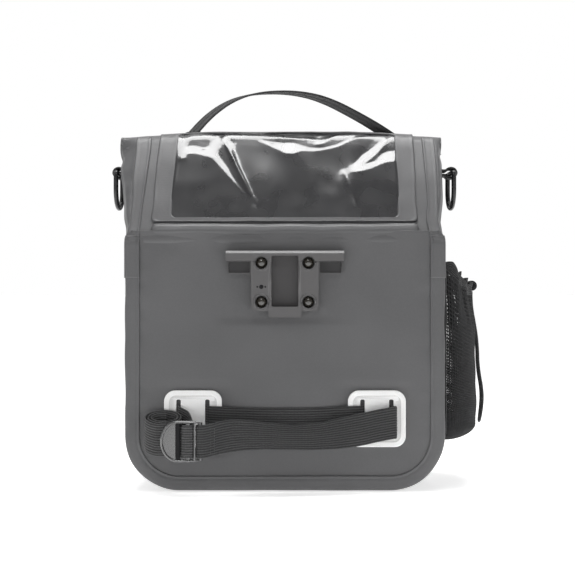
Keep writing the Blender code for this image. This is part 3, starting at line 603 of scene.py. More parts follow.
def panel_relief(x, z, seed):
    """Soft undulations of a panel, outwards, in millimetres."""
    broad = 0.75 * ripple(x, 0, z * 0.8, 95, seed) + 0.3 * ripple(x, 0, z, 38, seed + 2)
    broad += 0.9 * smoothstep(75, 100, z) * ripple(x + 0.6 * z, 0, z * 0.7, 60, seed + 5)
    centre = 1.3 * (1 - (x / 115) ** 2) * sin(pi * min(max(z / 200, 0), 1))
    return broad + centre


def plate_hold(x, z):
    """1 where the adapter plate or a strap plate holds the panel flat."""
    mount = smoothstep(60, 44, abs(x)) * smoothstep(34, 26, abs(z - 162))
    strap = smoothstep(34, 24, abs(abs(x) - STRAP_PLATE_X)) * smoothstep(32, 23, abs(z - 56))
    return max(mount, strap)


def make_panels():
    bottom = 5

    def back(u, v):
        z = bottom + (203 - bottom) * v
        x = (2 * u - 1) * half_width_at(z, 5)
        hold = plate_hold(x, z)
        relief = panel_relief(x, z, 3.3) * (1 - hold)
        near_seam = smoothstep(26, 8, half_width_at(z, 0) - abs(x))
        pucker = 0.35 * near_seam * ripple(x * 0.2, z, 0, 11, 8) * (1 - hold)
        near_hem = smoothstep(180, 199, z) * 0.5 * ripple(x, z, 0, 26, 5)
        return x, -64.9 - 0.6 * relief - pucker - near_hem, z

    def front(u, v):
        z = bottom + (194 - bottom) * v
        x = (2 * u - 1) * half_width_at(z, 5)
        relief = panel_relief(x, z, 6.1) * smoothstep(122, 104, abs(x))
        return x, 64.9 + 0.55 * max(relief, -0.8) * smoothstep(199, 150, z), z

    skin = grid_sheet("back_panel_skin", back, 150, 120, FABRIC, 1)
    piece(skin, replaces=("back_panel",))
    skin = grid_sheet("front_panel_skin", front, 100, 80, FABRIC, 1, flip=True)
    piece(skin, replaces=("front_panel",))


make_gusset()
make_panels()


# ---- upper part

# Y and Z of the sheet from below the hem, up the lean, over the roll and round into it.
UPPER_ROUTE = [
    (-65.35, 190), (-65.3, 196.5), (-63.6, 202), (-54.9, 216.3), (-44.5, 233.4), (-34.2, 250.5),
    (-24.5, 266), (-18.4, 275.3), (-13.4, 281.6), (-6.6, 285.4), (1, 286.2), (8, 285.4), (13, 282.4),
    (14.8, 278.4), (12.6, 274.4), (6.5, 272.4), (-1, 272.3), (-6.6, 273.7), (-9.9, 277.2), (-9.3, 281),
    (-5, 283.4), (1, 283.9), (7, 283.2), (10.6, 280.1), (9.8, 276.9), (5, 275.2), (0, 274.9),
    (-4.4, 276), (-6.5, 278.4), (-4.6, 280.8), (0.5, 281.4), (6, 280.6)]
UPPER_PATH = smooth_path([Vector((0, y, z)) for y, z in UPPER_ROUTE], 6)
UPPER_TRAVEL = [0]
for first, second in zip(UPPER_PATH, UPPER_PATH[1:]):
    UPPER_TRAVEL.append(UPPER_TRAVEL[-1] + (second - first).length)
BACK_LEAN, FRONT_LEAN = 0.6034, 0.6656        # depth lost for each millimetre of the wedge's height
HEM_TRAVEL = 9.4                    # travel at which the lean starts
ROLL_TRAVEL = HEM_TRAVEL + 96.0
SPLICE = -33.4                      # where the upper weld strips start, as a distance up the lean
ROLL_END = UPPER_TRAVEL[-1]


def upper_frame(travel):
    """Place and outward normal in Y and Z at a distance along the upper sheet."""
    travel = min(max(travel, 0), ROLL_END)
    i = int(np.searchsorted(UPPER_TRAVEL, travel)) - 1
    i = min(max(i, 0), len(UPPER_PATH) - 2)
    t = (travel - UPPER_TRAVEL[i]) / (UPPER_TRAVEL[i + 1] - UPPER_TRAVEL[i])
    place = UPPER_PATH[i].lerp(UPPER_PATH[i + 1], t)

    def tangent(k):
        k = min(max(k, 1), len(UPPER_PATH) - 2)
        return (UPPER_PATH[k + 1] - UPPER_PATH[k - 1]).normalized()
    along = tangent(i).lerp(tangent(i + 1), t).normalized()
    return place, Vector((0, -along.z, along.y))


def top_droop(x, s):
    """How far the roll's ends hang below its middle."""
    return (2.6 * smoothstep(55, 120, abs(x)) + 1.4 * smoothstep(112, 132, abs(x))) * smoothstep(45, 100, s)


def on_lean(x, s, height):
    """A point over the leaning panel: s up from the hem, height off its face."""
    place, normal = upper_frame(HEM_TRAVEL + s)
    return x, place.y + normal.y * height, place.z + normal.z * height - top_droop(x, s)


def upper_half_width(s, sign):
    """From the middle to one edge: the left margin flares out, the right one first draws in."""
    rise = min(max(s, 0) / 80, 1)
    flare = 9.6 * rise if sign < 0 else 2.9 * rise - 1.2 * smoothstep(-2, 10, s) * smoothstep(60, 14, s)
    pinch = -1.2 * exp(-((s - 84) / 5) ** 2) + 0.6 * exp(-((s - 100) / 8) ** 2)
    waist = -0.9 * exp(-((s - 10) / 8) ** 2) - 12.5 * smoothstep(0.5, -2.5, s)
    uneven = 0.5 * ripple(s, 0, 0, 17, 4 + sign) * smoothstep(0, 15, s)
    return HALF_WIDTH - 0.3 + flare + pinch + waist + uneven


def sleeve_x(z, sign):
    """Half width of the wedge's side walls, tucked just inside the sheet's edges."""
    return wall_x(z) + (1 if sign < 0 else -4.4) * smoothstep(HEM_HEIGHT, 240, z)


def side_fold(x, s):
    """Soft diagonal folds in the fabric outside the side welds."""
    outer = smoothstep(119, 126, abs(x))
    fold = 1.5 * ripple(x * 1.1 + s * 0.55, s * 0.4, 0, 24, 2.6 if x < 0 else 7.7)
    fold += 0.5 * ripple(x + s * 0.4, s, 0, 12, 5.2)
    return outer * fold * smoothstep(-6, 8, s) * smoothstep(104, 86, s) * (1 if x < 0 else 0.5)


def edge_fall(x, s):
    """The sheet turns back beside the side welds, towards the wedge's side walls."""
    rounding = 6 * smoothstep(120, 133, abs(x)) ** 1.3
    turned = 5 * smoothstep(-3.5, 0, abs(x) - upper_half_width(s, copysign(1, x))) ** 2
    return (rounding + turned) * smoothstep(-8, 8, s) * smoothstep(106, 94, s)


def make_upper_sheet():
    def point(u, v):
        travel = ROLL_END * v
        s = travel - HEM_TRAVEL
        in_roll = smoothstep(ROLL_TRAVEL, ROLL_TRAVEL + 20, travel)
        half = upper_half_width(s, copysign(1, u - 0.5))
        x = sin(pi * (u - 0.5)) * half
        height = side_fold(x, s) + 0.25 * ripple(x, s, 0, 45, 9) - edge_fall(x, s)
        height += in_roll * 0.35 * ripple(x, travel * 0.3, 0, 24, 1.4) - 1.4 * smoothstep(-3.5, -9.4, s)
        return on_lean(x, s, height)

    sheet = grid_sheet("upper_sheet", point, 150, 200, FABRIC, 0.9)
    piece(sheet, replaces=("upper_back_panel", "top_roll"))


def over_back(x, s, height):
    """A point over the leaning panel or, below the sheet's lower edge, straight down the back."""
    start = max(s, -HEM_TRAVEL)
    x, y, z = on_lean(x, start, height)
    return x, y, z + s - start


def make_side_bands():
    """From a splice low on the back, the side welds carry on up the lean between two pressed lines."""
    section = [(0, -0.3), (0, 0.7), (0.06, 1.1), (0.13, 1.15), (0.2, 0.85), (0.28, 0.8), (0.45, 0.9),
               (0.62, 0.85), (0.74, 0.8), (0.8, 1.05), (0.88, 1.15), (0.94, 1), (0.98, 0.6), (1, -0.3)]
    steps = 135
    for side, sign, lean_in, bow in (("left", -1, 4.6, 0), ("right", 1, 1.8, 2.2)):
        loops = []
        for i in range(steps + 1):
            s = SPLICE + (100.5 - SPLICE) * i / steps
            outer = HALF_WIDTH + 0.35 - 3.9 * smoothstep(-3, 15, s)
            outer += 0.5 * ripple(s, 0, 0, 26, 3 + sign) * smoothstep(-9, 10, s)
            inner = 113.4 - lean_in * smoothstep(-6, 96, s) - bow * exp(-((s - 14) / 12) ** 2)
            over = 0.75 * smoothstep(8, -3, s)
            loop = []
            for share, height in section:
                x = sign * (inner + (outer - inner) * share)
                base = side_fold(x, s) - edge_fall(x, s)
                loop.append(mm(*over_back(x, s, base + height + over)))
            loops.append(loop)
        band = ring_loft(f"{side}_side_weld", loops, SEAM, closed_rings=False)
        check_side(band, (0, -1, 0.3))
        add_thickness(band, 0.6)
        piece(band)


def sleeve_front(z):
    """Depth of the wedge's front edge, just under the flap."""
    return min(64.4, 62.6 - FRONT_LEAN * (z - 207.4))


def make_sleeve_gussets():
    """Side walls of the wedge, drawn in a little between their edges."""
    for side, sign in SIDES:
        def point(u, v, sign=sign):
            z = 197 + 76 * v
            back = -63 + BACK_LEAN * max(z - HEM_HEIGHT, 0) + 6 * smoothstep(HEM_HEIGHT, 212, z)
            y = back + (sleeve_front(z) - back) * u
            free = (1 - smoothstep(12, 4, abs(y))) if z > 230 else 1.0
            middle = 3.6 * sin(pi * u) * sin(pi * min(v * 1.05, 1))
            fold = 1.6 * abs(ripple(0, y * 0.7, z * 0.4, 26, 3 + sign))
            fold += 0.6 * ripple(0, y, z, 11, 1 + sign)
            drawn_in = 0.3 + (middle + fold * sin(pi * u)) * free + 3 * smoothstep(0.12, 0, u) ** 2
            return sign * (sleeve_x(z, sign) - drawn_in), y, z
        skin = grid_sheet(f"{side}_sleeve_skin", point, 70, 50, LINING, 0.9, flip=sign < 0)
        check_side(skin, (sign, 0, 0))
        piece(skin, replaces=(f"{side}_sleeve_gusset",))


make_upper_sheet()
make_side_bands()
make_sleeve_gussets()


# ---- map pocket

TUCK_SLOPE = 0.30
SIDE_STIFFNESS = 0.2                # how little the film minds a slope from side to side
FRAME_HALF = 104.5
WINDOW_HALF = 89.0
FRAME_LOW, WINDOW_LOW = 11.8, 15.3
WINDOW_HIGH, FRAME_HIGH = 101, 116.0


def pocket_drift(x, s):
    """The sewn pocket is a little out of square: it narrows and drifts to the right as it rises."""
    rise = min(max(s, 0) / 95, 1)
    return x * (1 - 0.012 * rise) - 0.6 + 1.8 * rise


# Places where the film tucks back and faces up: corners in millimetres across and up the lean.
FILM_TUCKS = [
    [(-87, 99), (-82, 99), (-81.5, 72), (-87, 71)],
    [(-84, 85), (-76, 86), (-68, 83), (-62, 86), (-60, 95), (-53, 100), (-52, 94), (-54, 84), (-55, 75),
     (-47, 62), (-40.5, 50), (-30.5, 37), (-21.5, 26), (-23.5, 24.5), (-33, 35.5), (-43, 49.5), (-52, 61),
     (-60, 71), (-72, 76), (-84, 77)],
    [(-47, 92), (-43.5, 87), (-37.5, 64), (-25.5, 38), (-19, 28), (-21.5, 27), (-28, 38), (-40, 63), (-46, 84)],
    [(-24, 92), (-10, 89), (6, 88), (12, 85), (20, 82), (28, 81.8), (42, 86), (56, 95), (70, 98.5), (82, 99.5),
     (83, 97), (70, 96.5), (57, 93.4), (42, 84), (28, 79.2), (18, 79), (12, 78.5), (6, 75.7), (0, 76),
     (-6, 80), (-16, 87)],
    [(84, 98), (80, 99), (72, 87), (62, 76), (53, 64), (53, 58), (58, 57), (68, 60), (80, 67), (90, 69.5),
     (90, 82), (84, 81), (78, 77), (73, 69), (64, 66), (68, 70), (76, 80), (83, 92)],
    [(-26, 98), (0, 96.5), (20, 95), (36, 96.5), (44, 98), (36, 93), (30, 86.5), (24, 86), (24, 90.5),
     (10, 92.5), (0, 94), (-14, 95.8)],
]


def inside(polygon, x, y):
    """Even-odd test of arrays of points against a polygon."""
    found = np.zeros(x.shape, bool)
    for (x0, y0), (x1, y1) in zip(polygon, polygon[1:] + polygon[:1]):
        if y0 == y1:
            continue
        crosses = (y0 > y) != (y1 > y)
        found ^= crosses & (x < (x1 - x0) * (y - y0) / (y1 - y0) + x0)
    return found


# Soft hollows of the film that only catch a sheen: X, distance up the lean, both radii and the slope.
FILM_SHEENS = [
    (-18, 66, 10, 14, 0.105), (-36, 21, 14, 6, 0.2), (34, 36, 9, 10, 0.165), (43, 53, 3, 6, 0.15),
    (76, 38, 12, 12, 0.13), (-70, 45, 15, 15, 0.06), (8, 27, 16, 6, 0.12), (30, 62, 14, 7, 0.08)]
# Sharp ridges, and one furrow, between two points: both ends, the height and the width.
FILM_CREASES = [
    ((-52, 92), (-19, 18), 1.5, 2.6), ((46, 60), (57, 26), 0.8, 2.4), ((-24, 27), (-14, 15), -0.5, 3.5)]


def film_heights(columns, rows, width, height):
    """Heights of the film whose slope up the lean falls away inside each tuck."""
    step_x, step_s = width / columns, height / rows
    pad = 48
    x = (np.arange(columns + 1 + 2 * pad) - pad) * step_x - width / 2
    s = (np.arange(rows + 1 + 2 * pad) - pad) * step_s + FRAME_LOW
    grid_x, grid_s = np.meshgrid(x, s)
    slope = np.zeros(grid_x.shape)
    for polygon in FILM_TUCKS:
        slope = np.where(inside(polygon, grid_x, grid_s), -TUCK_SLOPE, slope)
    for centre_x, centre_s, radius_x, radius_s, amount in FILM_SHEENS:
        away = ((grid_x - centre_x) / radius_x) ** 2 + ((grid_s - centre_s) / radius_s) ** 2
        slope -= amount * np.exp(-away)
    kx = 2 * np.pi * np.fft.fftfreq(grid_x.shape[1], step_x)
    ks = 2 * np.pi * np.fft.fftfreq(grid_x.shape[0], step_s)
    wave_x, wave_s = np.meshgrid(kx, ks)
    square = wave_s ** 2 + SIDE_STIFFNESS * wave_x ** 2
    square[0, 0] = 1.0
    blur = np.exp(-(wave_x ** 2 + wave_s ** 2) * 0.45 ** 2 / 2)
    spectrum = -1j * wave_s * np.fft.fft2(slope) * blur / square
    return np.real(np.fft.ifft2(spectrum))[pad:-pad, pad:-pad]


def crease(x, s, start, end, height, width):
    """A sharp ridge of film between two points, fading at both ends."""
    dx, ds = end[0] - start[0], end[1] - start[1]
    length = hypot(dx, ds)
    t = ((x - start[0]) * dx + (s - start[1]) * ds) / length ** 2
    away = abs((x - start[0]) * ds - (s - start[1]) * dx) / length
    fade = smoothstep(-0.08, 0.12, t) * smoothstep(1.08, 0.8, t)
    return height * fade * exp(-away / width)


def make_film():
    columns, rows = 230, 116
    width, low, top = 186, FRAME_LOW + 0.7, 104.5
    heights = film_heights(columns, rows, width, top - low)

    def point(u, v):
        x = (u - 0.5) * width
        s = low + (top - low) * v
        edge = min(smoothstep(93, 88, abs(x)), smoothstep(10, 52, s), smoothstep(top, 101, s))
        height = 1.3 + heights[round(v * rows)][round(u * columns)]
        height += 0.35 * ripple(x, s, 0, 34, 6.6) + 0.05 * ripple(x, s * 0.6, 0, 9, 2.8)
        height += sum(crease(x, s, *line) for line in FILM_CREASES)
        return on_lean(pocket_drift(x, s), s, 1 + edge * max(height, -0.5))

    film = grid_sheet("map_film", point, columns, rows, FILM, 0.3)
    piece(film, replaces=("map_window",))


def frame_loop(half, low, high, radius):
    """A closed loop of points, X and distance up the lean, with matching counts for any size."""
    rise_steps, side_steps = 30, 34
    corners = [(half - radius, low + radius, -0.5, rise_steps), (half - radius, high - radius, 0, side_steps),
               (radius - half, high - radius, 0.5, rise_steps), (radius - half, low + radius, 1, side_steps)]
    bends = [arc(x, s, radius, turn, turn + 0.5, 5) for x, s, turn, _ in corners]
    points = []
    for bend, following, (*_, steps) in zip(bends, bends[1:] + bends[:1], corners):
        (x, s), (next_x, next_s) = bend[-1], following[0]
        points += bend + [(x + (next_x - x) * i / steps, s + (next_s - s) * i / steps) for i in range(1, steps)]
    return points


def make_window_frame():
    outer = frame_loop(FRAME_HALF, FRAME_LOW, FRAME_HIGH, 3.5)
    inner = frame_loop(WINDOW_HALF, WINDOW_LOW, WINDOW_HIGH, 4)
    section = [(0, 0), (0, 1.2), (0.03, 1.9), (0.09, 2.05), (0.16, 1.75), (0.24, 1.75), (0.5, 1.85),
               (0.72, 1.8), (0.84, 1.95), (0.93, 2.05), (0.97, 1.8), (1, 1.3), (1, 0.9)]
    loops = []
    for share, height in section:
        loop = []
        for (outer_x, outer_s), (inner_x, inner_s) in zip(outer, inner):
            x = outer_x + (inner_x - outer_x) * share
            s = outer_s + (inner_s - outer_s) * share
            wobble = 0.35 * ripple(x, s, 0, 16, 7)
            lift = 0.3 * ripple(x, s, 0, 22, 1.1) if height > 1 else 0.0
            thin = 1 - 0.62 * smoothstep(100, 107, s)
            top_line = 0.9 * ripple(x, 0, 0, 24, 8.8) * smoothstep(96, 101, s) * (s < 108)
            loop.append(mm(*on_lean(pocket_drift(x, s) + wobble * (abs(x) > 80), s + wobble * 0.5 + top_line,
                                    (height + lift) * thin + 0.1)))
        loops.append(loop)
    ring = ring_loft("window_frame", loops, SEAM, closed_sections=True)
    piece(ring, replaces=("map_pocket_frame",))


def make_hem_band():
    """The rounded, slightly wavy band under the window."""
    half = FRAME_HALF + 0.5

    def point(u, v):
        x = (2 * u - 1) * half
        end = sqrt(max(1 - max(abs(x) - half + 4.6, 0) ** 2 / 4.6 ** 2, 0))
        wave = 0.5 * ripple(x, 0, 0, 33, 3.7)
        s = 5.6 + wave + (2 * v - 1) * 4.7 * max(end, 0.05)
        dome = (1 - abs(2 * v - 1) ** 3.2) ** 0.7 if 0 < v < 1 else 0.0
        ridge = 0.25 * exp(-((v - 0.86) / 0.06) ** 2) - 0.25 * exp(-((v - 0.74) / 0.05) ** 2)
        height = 0.1 + (2.5 * dome + ridge) * end + 0.2 * ripple(x, v * 9, 0, 14, 5.5) * dome
        return on_lean(x, s, height)
    band = grid_sheet("window_hem", point, 150, 16, FABRIC)
    piece(band, replaces=("window_hem_band",))


make_film()
make_window_frame()
make_hem_band()


# ---- adapter plate

PLATE_BACK = -65.3
PLATE_FACE = -77.3
BASE_FACE = -69.3
SCREW_PLACES = [(sx * 18.2, z) for z in (177.6, 147.3) for sx in (-1, 1)]


def join(obj, outline, low, high, axis="Y"):
    combine(obj, prism("block", outline, low, high, obj.data.materials[0], axis), "UNION")


def cut(obj, outline, low, high, axis="Y"):
    combine(obj, prism("block", outline, low, high, obj.data.materials[0], axis))


def make_adapter_plate():
    wing, wing_low, body, foot, fillet = 44.6, 169.2, 26.2, 140.1, 6.0
    half = [(45.75, 187), (45.75, 179), (wing, 177), (wing, wing_low + 1.5), (wing - 1.5, wing_low)]
    half += arc(body + fillet, wing_low - fillet, fillet, 0.5, 1, 8) + arc(body - 4, foot + 4, 4, 0, -0.5, 5)
    outline = half + [(-x, z) for x, z in reversed(half)]
    plate = prism("adapter_plate", outline, BASE_FACE, PLATE_BACK, PLATE)
    inner = PLATE_BACK - 1
    join(plate, [(inner, 186.9), (-75.6, 186.9), (PLATE_FACE, 185), (PLATE_FACE, 179), (inner, 179)],
         -45.7, 45.7, "X")
    join(plate, rounded_rectangle((0, 162.6), (body - 0.2, 22.4), 4), PLATE_FACE + 0.7, inner)
    join(plate, rounded_rectangle((0, 141.6), (12.8, 6.2), 1.6), PLATE_FACE + 0.2, PLATE_BACK - 0.8)
    channel = rounded_rectangle((0, 163.4), (10.4, 19.7), 1.2)
    cut(plate, channel, -80, BASE_FACE + 1.2)
    for x, z in SCREW_PLACES:
        rise = [(6.6, 0), (6.6, 0.6), (6.1, 1), (0, 1)]
        combine(plate, turned("boss", (x, PLATE_FACE + 1.2, z), (0, -1, 0), rise, PLATE, 40), "UNION")
        combine(plate, rod("bore", (x, -82, z), (x, PLATE_FACE + 5.4, z), 5, PLATE, 40))
    # Each wing recess gets a near-black floor sheet as painted shade for the shadow the rail casts into it.
    for side, sign in SIDES:
        pan = rounded_rectangle((sign * 35.6, 174.2), (8.3, 4.2), 0.6, 3)
        cut(plate, pan, BASE_FACE - 1, BASE_FACE + 1.6)
        floor = prism(f"{side}_wing_shade_sheet", pan, BASE_FACE + 1.4, BASE_FACE + 1.9, WING_SHADE)
        piece(floor)
    # The channel gets a darker floor sheet as painted shade in the recess.
    floor = prism("channel_shade_sheet", channel, BASE_FACE + 0.9, BASE_FACE + 1.5, CHANNEL_SHADE)
    piece(floor)
    soften(plate, 0.42)
    piece(plate, replaces=("mount_plate",))


def make_pin_hole_shades():
    """Near-black discs on the left pillar, a large one between two small ones, as painted shade for the pin
    hole and its two dots.
    """
    for number, (x, radius) in enumerate(((-18.2, 1.75), (-21.3, 0.8), (-15.1, 0.8)), 1):
        profile = [(0, -0.1), (radius - 0.2, -0.1), (radius, 0.05), (radius, 1), (0, 1)]
        # Each disc is painted shade standing in for a hole.
        pin = turned(f"pin_hole_shade_{number}", (x, PLATE_FACE + 0.7, 159), (0, 1, 0), profile, LOCK, 24)
        piece(pin)


def make_screws():
    """Domed heads, sunk in the bosses, on shanks that reach the nuts."""
    profile = arc(0, -0.3, 4.35, -0.5, 0, 9, 3.2) + [(4.35, 0), (2, 0.05), (2, 18.4), (0, 18.5)]
    for number, (x, z) in enumerate(SCREW_PLACES, 1):
        screw = turned(f"domed_screw_{number}", (x, PLATE_FACE + 5.1, z), (0, 1, 0), profile, SCREW, 40)
        piece(screw, replaces=(f"mount_screw_{number}",))


# ---- strap plates, strap and buckle

BAR = (-64.6, -90.5, 41.2)          # axis of the buckle's bar


def make_strap_plates():
    for side, sign in SIDES:
        x, z = sign * STRAP_PLATE_X, STRAP_PLATE_Z
        outline = rounded_rectangle((x, z), (22.5, 22), 8.6, 10)
        plate = prism(f"{side}_white_plate", outline, -69.3, -65.3, WHITE)
        soften(plate, 0.9, 4)
        cut(plate, rounded_rectangle((x, z), (18.6, 18.1), 5.2, 8), -72, -68.75)
        cut(plate, rounded_rectangle((x, z), (14, 15.5), 1, 2), -67.5, -64)
        for slot in (-11.2, 11.2):
            cut(plate, rounded_rectangle((x + slot, z), (1.7, 15), 1.2, 5), -72, -64)
        soften(plate, 0.22, 2)
        piece(plate, replaces=(f"{side}_strap_plate",))


# The webbing on the panel, through the plates and back to the buckle: X, Y, Z and lean in degrees.
STRAP_ROUTE = [
    (-82.9, -69.4, 54.4, 0), (-82.5, -68, 54.4, 0), (-81.4, -66.8, 54.4, 0), (-79, -66.4, 54.4, 0),
    (-66, -66.4, 54.4, 0), (-62.4, -66.5, 54.4, 0), (-61.3, -67, 54.4, 0), (-60.3, -68.4, 54.3, 0),
    (-59.4, -69.8, 54.2, 0), (-57.5, -70.5, 54, 0), (-49, -70.2, 53.6, 0), (-40, -67.2, 53, 0),
    (-20, -66.5, 52.4, 0), (0, -66.5, 52.2, 0), (20, -66.5, 52.4, 0), (40, -67.2, 53.2, 0),
    (49, -70.2, 53.8, 0), (57.5, -70.5, 54.2, 0), (59.4, -69.8, 54.4, 0), (60.3, -68.4, 54.4, 0),
    (61.3, -67, 54.4, 0), (62.4, -66.5, 54.4, 0), (66, -66.4, 54.4, 0), (78.4, -66.4, 54.4, 0),
    (81.6, -67, 54.4, 0), (82.6, -68.4, 54.4, 0), (83.5, -70.2, 54.3, 0), (85.6, -72.6, 54.2, 0),
    (86, -75.4, 54.2, 0), (83.4, -77, 54, 0), (72, -77.6, 52, 3), (60, -78.6, 49.4, 8),
    (43.4, -80.2, 46.6, 24), (26.3, -82.2, 44.4, 39), (6.5, -84.2, 43.8, 46), (-12, -86.2, 44.8, 41),
    (-28, -88, 45.6, 31), (-40, -89.8, 45.4, 17), (-49, -91.5, 44.2, 2), (-55, -92.2, 42.6, 0),
    (-60.8, -93, 41.4, 0), (-64.6, -93.3, 41.2, 0), (-66.6, -92.5, 41.2, 0), (-67.4, -90.5, 41.2, 0),
    (-66.6, -88.5, 41.2, 0), (-64.6, -87.7, 41.2, 0), (-60.8, -88.2, 41.4, 0), (-56.8, -89.9, 42, 0),
    (-52.8, -90.2, 42.8, 0)]
TAIL_ROUTE = [
    (-82.6, -69.9, 54.4), (-82, -71.6, 53.8), (-78.6, -73.4, 52.4), (-74.4, -76.2, 50.2),
    (-72.2, -80.4, 46.8), (-70.6, -85.6, 43), (-70, -88.6, 41.4), (-70.1, -91.4, 41.2),
    (-71, -93.1, 41.2), (-73.8, -93.7, 41.2), (-76.6, -93.1, 41.2), (-77.9, -91.2, 41.2),
    (-79, -89, 41.2), (-81.6, -87.4, 41.4), (-86, -86.9, 41.9)]
ROLL_AXIS = (-93.2, -78.6, 46.6)
ROLL_TURNS = 2.6
ROLL_RISE = 0.62                    # the far side of the rolled tail stands higher than the near side


def make_buckle_shade_bar():
    """A near-black bar beside the thumb tab, put there as painted shade for the deep gap where the spare
    webbing goes down behind the tab.
    """
    x, y, z = BAR
    outline = rounded_rectangle((x - 16.9, y - 0.3), (1.6, 1.2), 0.5, 3)
    bar = prism("buckle_shade_bar", outline, z - 13.5, z + 13.5, LOCK, "Z")
    piece(bar, "buckle")


def rolled_tail():
    """The flattened spiral of the spare webbing, from its outer turn inwards."""
    points = []
    for i in range(1, int(ROLL_TURNS * 24)):
        turn = i / 24
        angle = -pi / 2 - 2 * pi * turn
        radius = 8.2 - 1.72 * turn + 0.12 * sin(7 * turn)
        flat = 6.8 * cos(angle) * (1 - 0.1 * turn)
        points.append((ROLL_AXIS[0] + flat + radius * cos(angle), ROLL_AXIS[1] + radius * sin(angle),
                       ROLL_AXIS[2] + ROLL_RISE * radius * sin(angle)))
    return points


def make_strap():
    per_span = 5
    path = smooth_path([mm(*row[:3]) for row in STRAP_ROUTE], per_span)
    leans = [row[3] for row in STRAP_ROUTE]
    sides = []
    for i in range(len(path)):
        low = min(i // per_span, len(leans) - 2)
        turn = leans[low + 1] - leans[low]
        lean = radians(leans[low] + turn * smoothstep(0, 1, i / per_span - low))
        sides.append(Vector((0, sin(lean), cos(lean))))
    strap = webbing("lower_strap_webbing", path, WEBBING, 1.35, sides, STRAP)
    piece(strap, replaces=("lower_strap",))
    for x in (-53.6, -56.4):
        row = [mm(x, -92.9 - 0.06 * (x + 55), z) for z in (31.5, 54)]
        stitches(f"strap_stitches_{round(-x)}", row, (0, -1, 0))


def make_tail():
    path = smooth_path([mm(*p) for p in TAIL_ROUTE + rolled_tail()], 3)
    # The lighter tail webbing is painted light on the same webbing as the strap.
    tail = webbing("strap_tail_roll", path, WEBBING, 1.3, Vector((0, 0, 1)), LIT_TAIL_STRAP)
    piece(tail, body=None, replaces=("strap_tail",))
    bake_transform(tail)


def make_buckle():
    """A D-shaped ladder buckle: a thumb tab, a middle bar and the sewn bar, inside a rounded rim."""
    x, y, z = BAR
    half = 14.4
    upper = [(x + 0.4, z + half), (x - 8, z + half + 0.25)]
    rim = upper + arc(x - 17.4, z, 12, 0.5, 1.5, 16, half + 0.3)
    rim += [(px, 2 * z - pz) for px, pz in reversed(upper)]
    loops = []
    for (px, pz), before, after in zip(rim, rim[-1:] + rim[:-1], rim[1:] + rim[:1]):
        along = Vector((after[0] - before[0], 0, after[1] - before[1])).normalized()
        out = Vector((along.z, 0, -along.x)) * (1.25 * MM)
        deep = 2.3 * (1 + 0.22 * smoothstep(x - 20, x - 6, px))
        loops.append(circle(mm(px, y, pz), out, mm(0, deep, 0), 16))
    buckle = ring_loft("ladder_buckle", loops, BUCKLE, closed_sections=True)
    tab = [(x - 18.8, z + 13.9), (x - 18.8, z - 13.9)] + arc(x - 19, z, 10.6, -0.5, -1.5, 12, 14)
    join(buckle, tab, y - 0.9, y + 1.4)
    join(buckle, rounded_rectangle((x - 9.1, y), (1.7, 1.7), 0.8, 4), z - 14.2, z + 14.2, "Z")
    for px, py, reach, radius, sides in ((x, y, half, 1.8, 24), (x - 4.1, y - 2.7, 14.2, 0.62, 16)):
        combine(buckle, rod("bar", (px, py, z - reach), (px, py, z + reach), radius, BUCKLE, sides), "UNION")
    outward(buckle)
    buckle.data.set_sharp_from_angle(angle=radians(50))
    piece(buckle, "buckle", replaces=("strap_buckle",))


make_adapter_plate()
make_pin_hole_shades()
make_screws()
make_strap_plates()
make_strap()
make_tail()
make_buckle()
make_buckle_shade_bar()


# ---- handle and rings

HANDLE_WIDTH = 20.0
ROLL_TOP_LOW, ROLL_TOP_HIGH = 105, 122    # the top of the roll, as distances up the lean
HANDLE_ASKEW = radians(34)
RING_BAR_Z = 252.5
RING_YAW = radians(4)
# X and Z of the handle, from one sewn foot over the arch to the other.
HANDLE_ROUTE = [
    (-78.6, 285), (-76.6, 285.8), (-74.8, 287.4), (-72.2, 290.2), (-68, 294.8),
    (-60.5, 301.8), (-50, 309.3), (-38, 315), (-24, 318.4), (-8, 319.6), (8, 318.9),
    (24, 315.9), (39, 310.4), (53, 303.4), (66, 296.2), (74, 291.4), (79, 288.2),
    (82, 286.2), (84, 284.8)]
HANDLE_THICKNESS = 1.5


def make_handle():
    path = smooth_path([mm(x, 0, z) for x, z in HANDLE_ROUTE], 5)
    side = Vector((-sin(HANDLE_ASKEW), cos(HANDLE_ASKEW), 0))
    handle = webbing("carry_handle", path, HANDLE_WIDTH, HANDLE_THICKNESS, side, DARK_STRAP, ribs=8)
    piece(handle, body=None, replaces=("handle_strap",))
    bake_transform(handle)
    for name, middle in (("left_handle_patch", -75.5), ("right_handle_patch", 81.5)):
        def point(u, v, middle=middle):
            x = middle + 15 * (u - 0.5)
            dome = min(1, 12 * min(u, 1 - u), 12 * min(v, 1 - v))
            return on_lean(x, ROLL_TOP_LOW + (ROLL_TOP_HIGH - ROLL_TOP_LOW) * v, 0.2 + 0.9 * dome)
        patch = grid_sheet(name, point, 24, 24, DARK_STRAP)
        add_strap_uv(patch, 25)
        piece(patch, replaces=(name.replace("patch", "foot"),))
        corners = [(0.12, 0.14), (0.88, 0.14), (0.88, 0.86), (0.12, 0.86), (0.12, 0.14), (0.88, 0.86)]
        seam = [mm(*point(u, v)) for u, v in corners]
        stitches(name + "_seam", seam, (0, 0, 1))


def d_shape():
    """The ring's centre line in its own plane: Y across and Z down from its straight bar."""
    half, drop, bend = 14, 14, 1.2
    points = [(half * k / 5, 0) for k in range(4, -5, -1)]
    corner = [(half - bend * (1 - sin(t)), -bend * (1 - cos(t))) for t in (0.5, 1.1)]
    corner += [(half, -3), (half, -8)]
    points += [(-y, z) for y, z in corner]
    points += arc(0, -drop, half, 1, 2, 24, 1.05 * half)
    return points + corner[::-1]


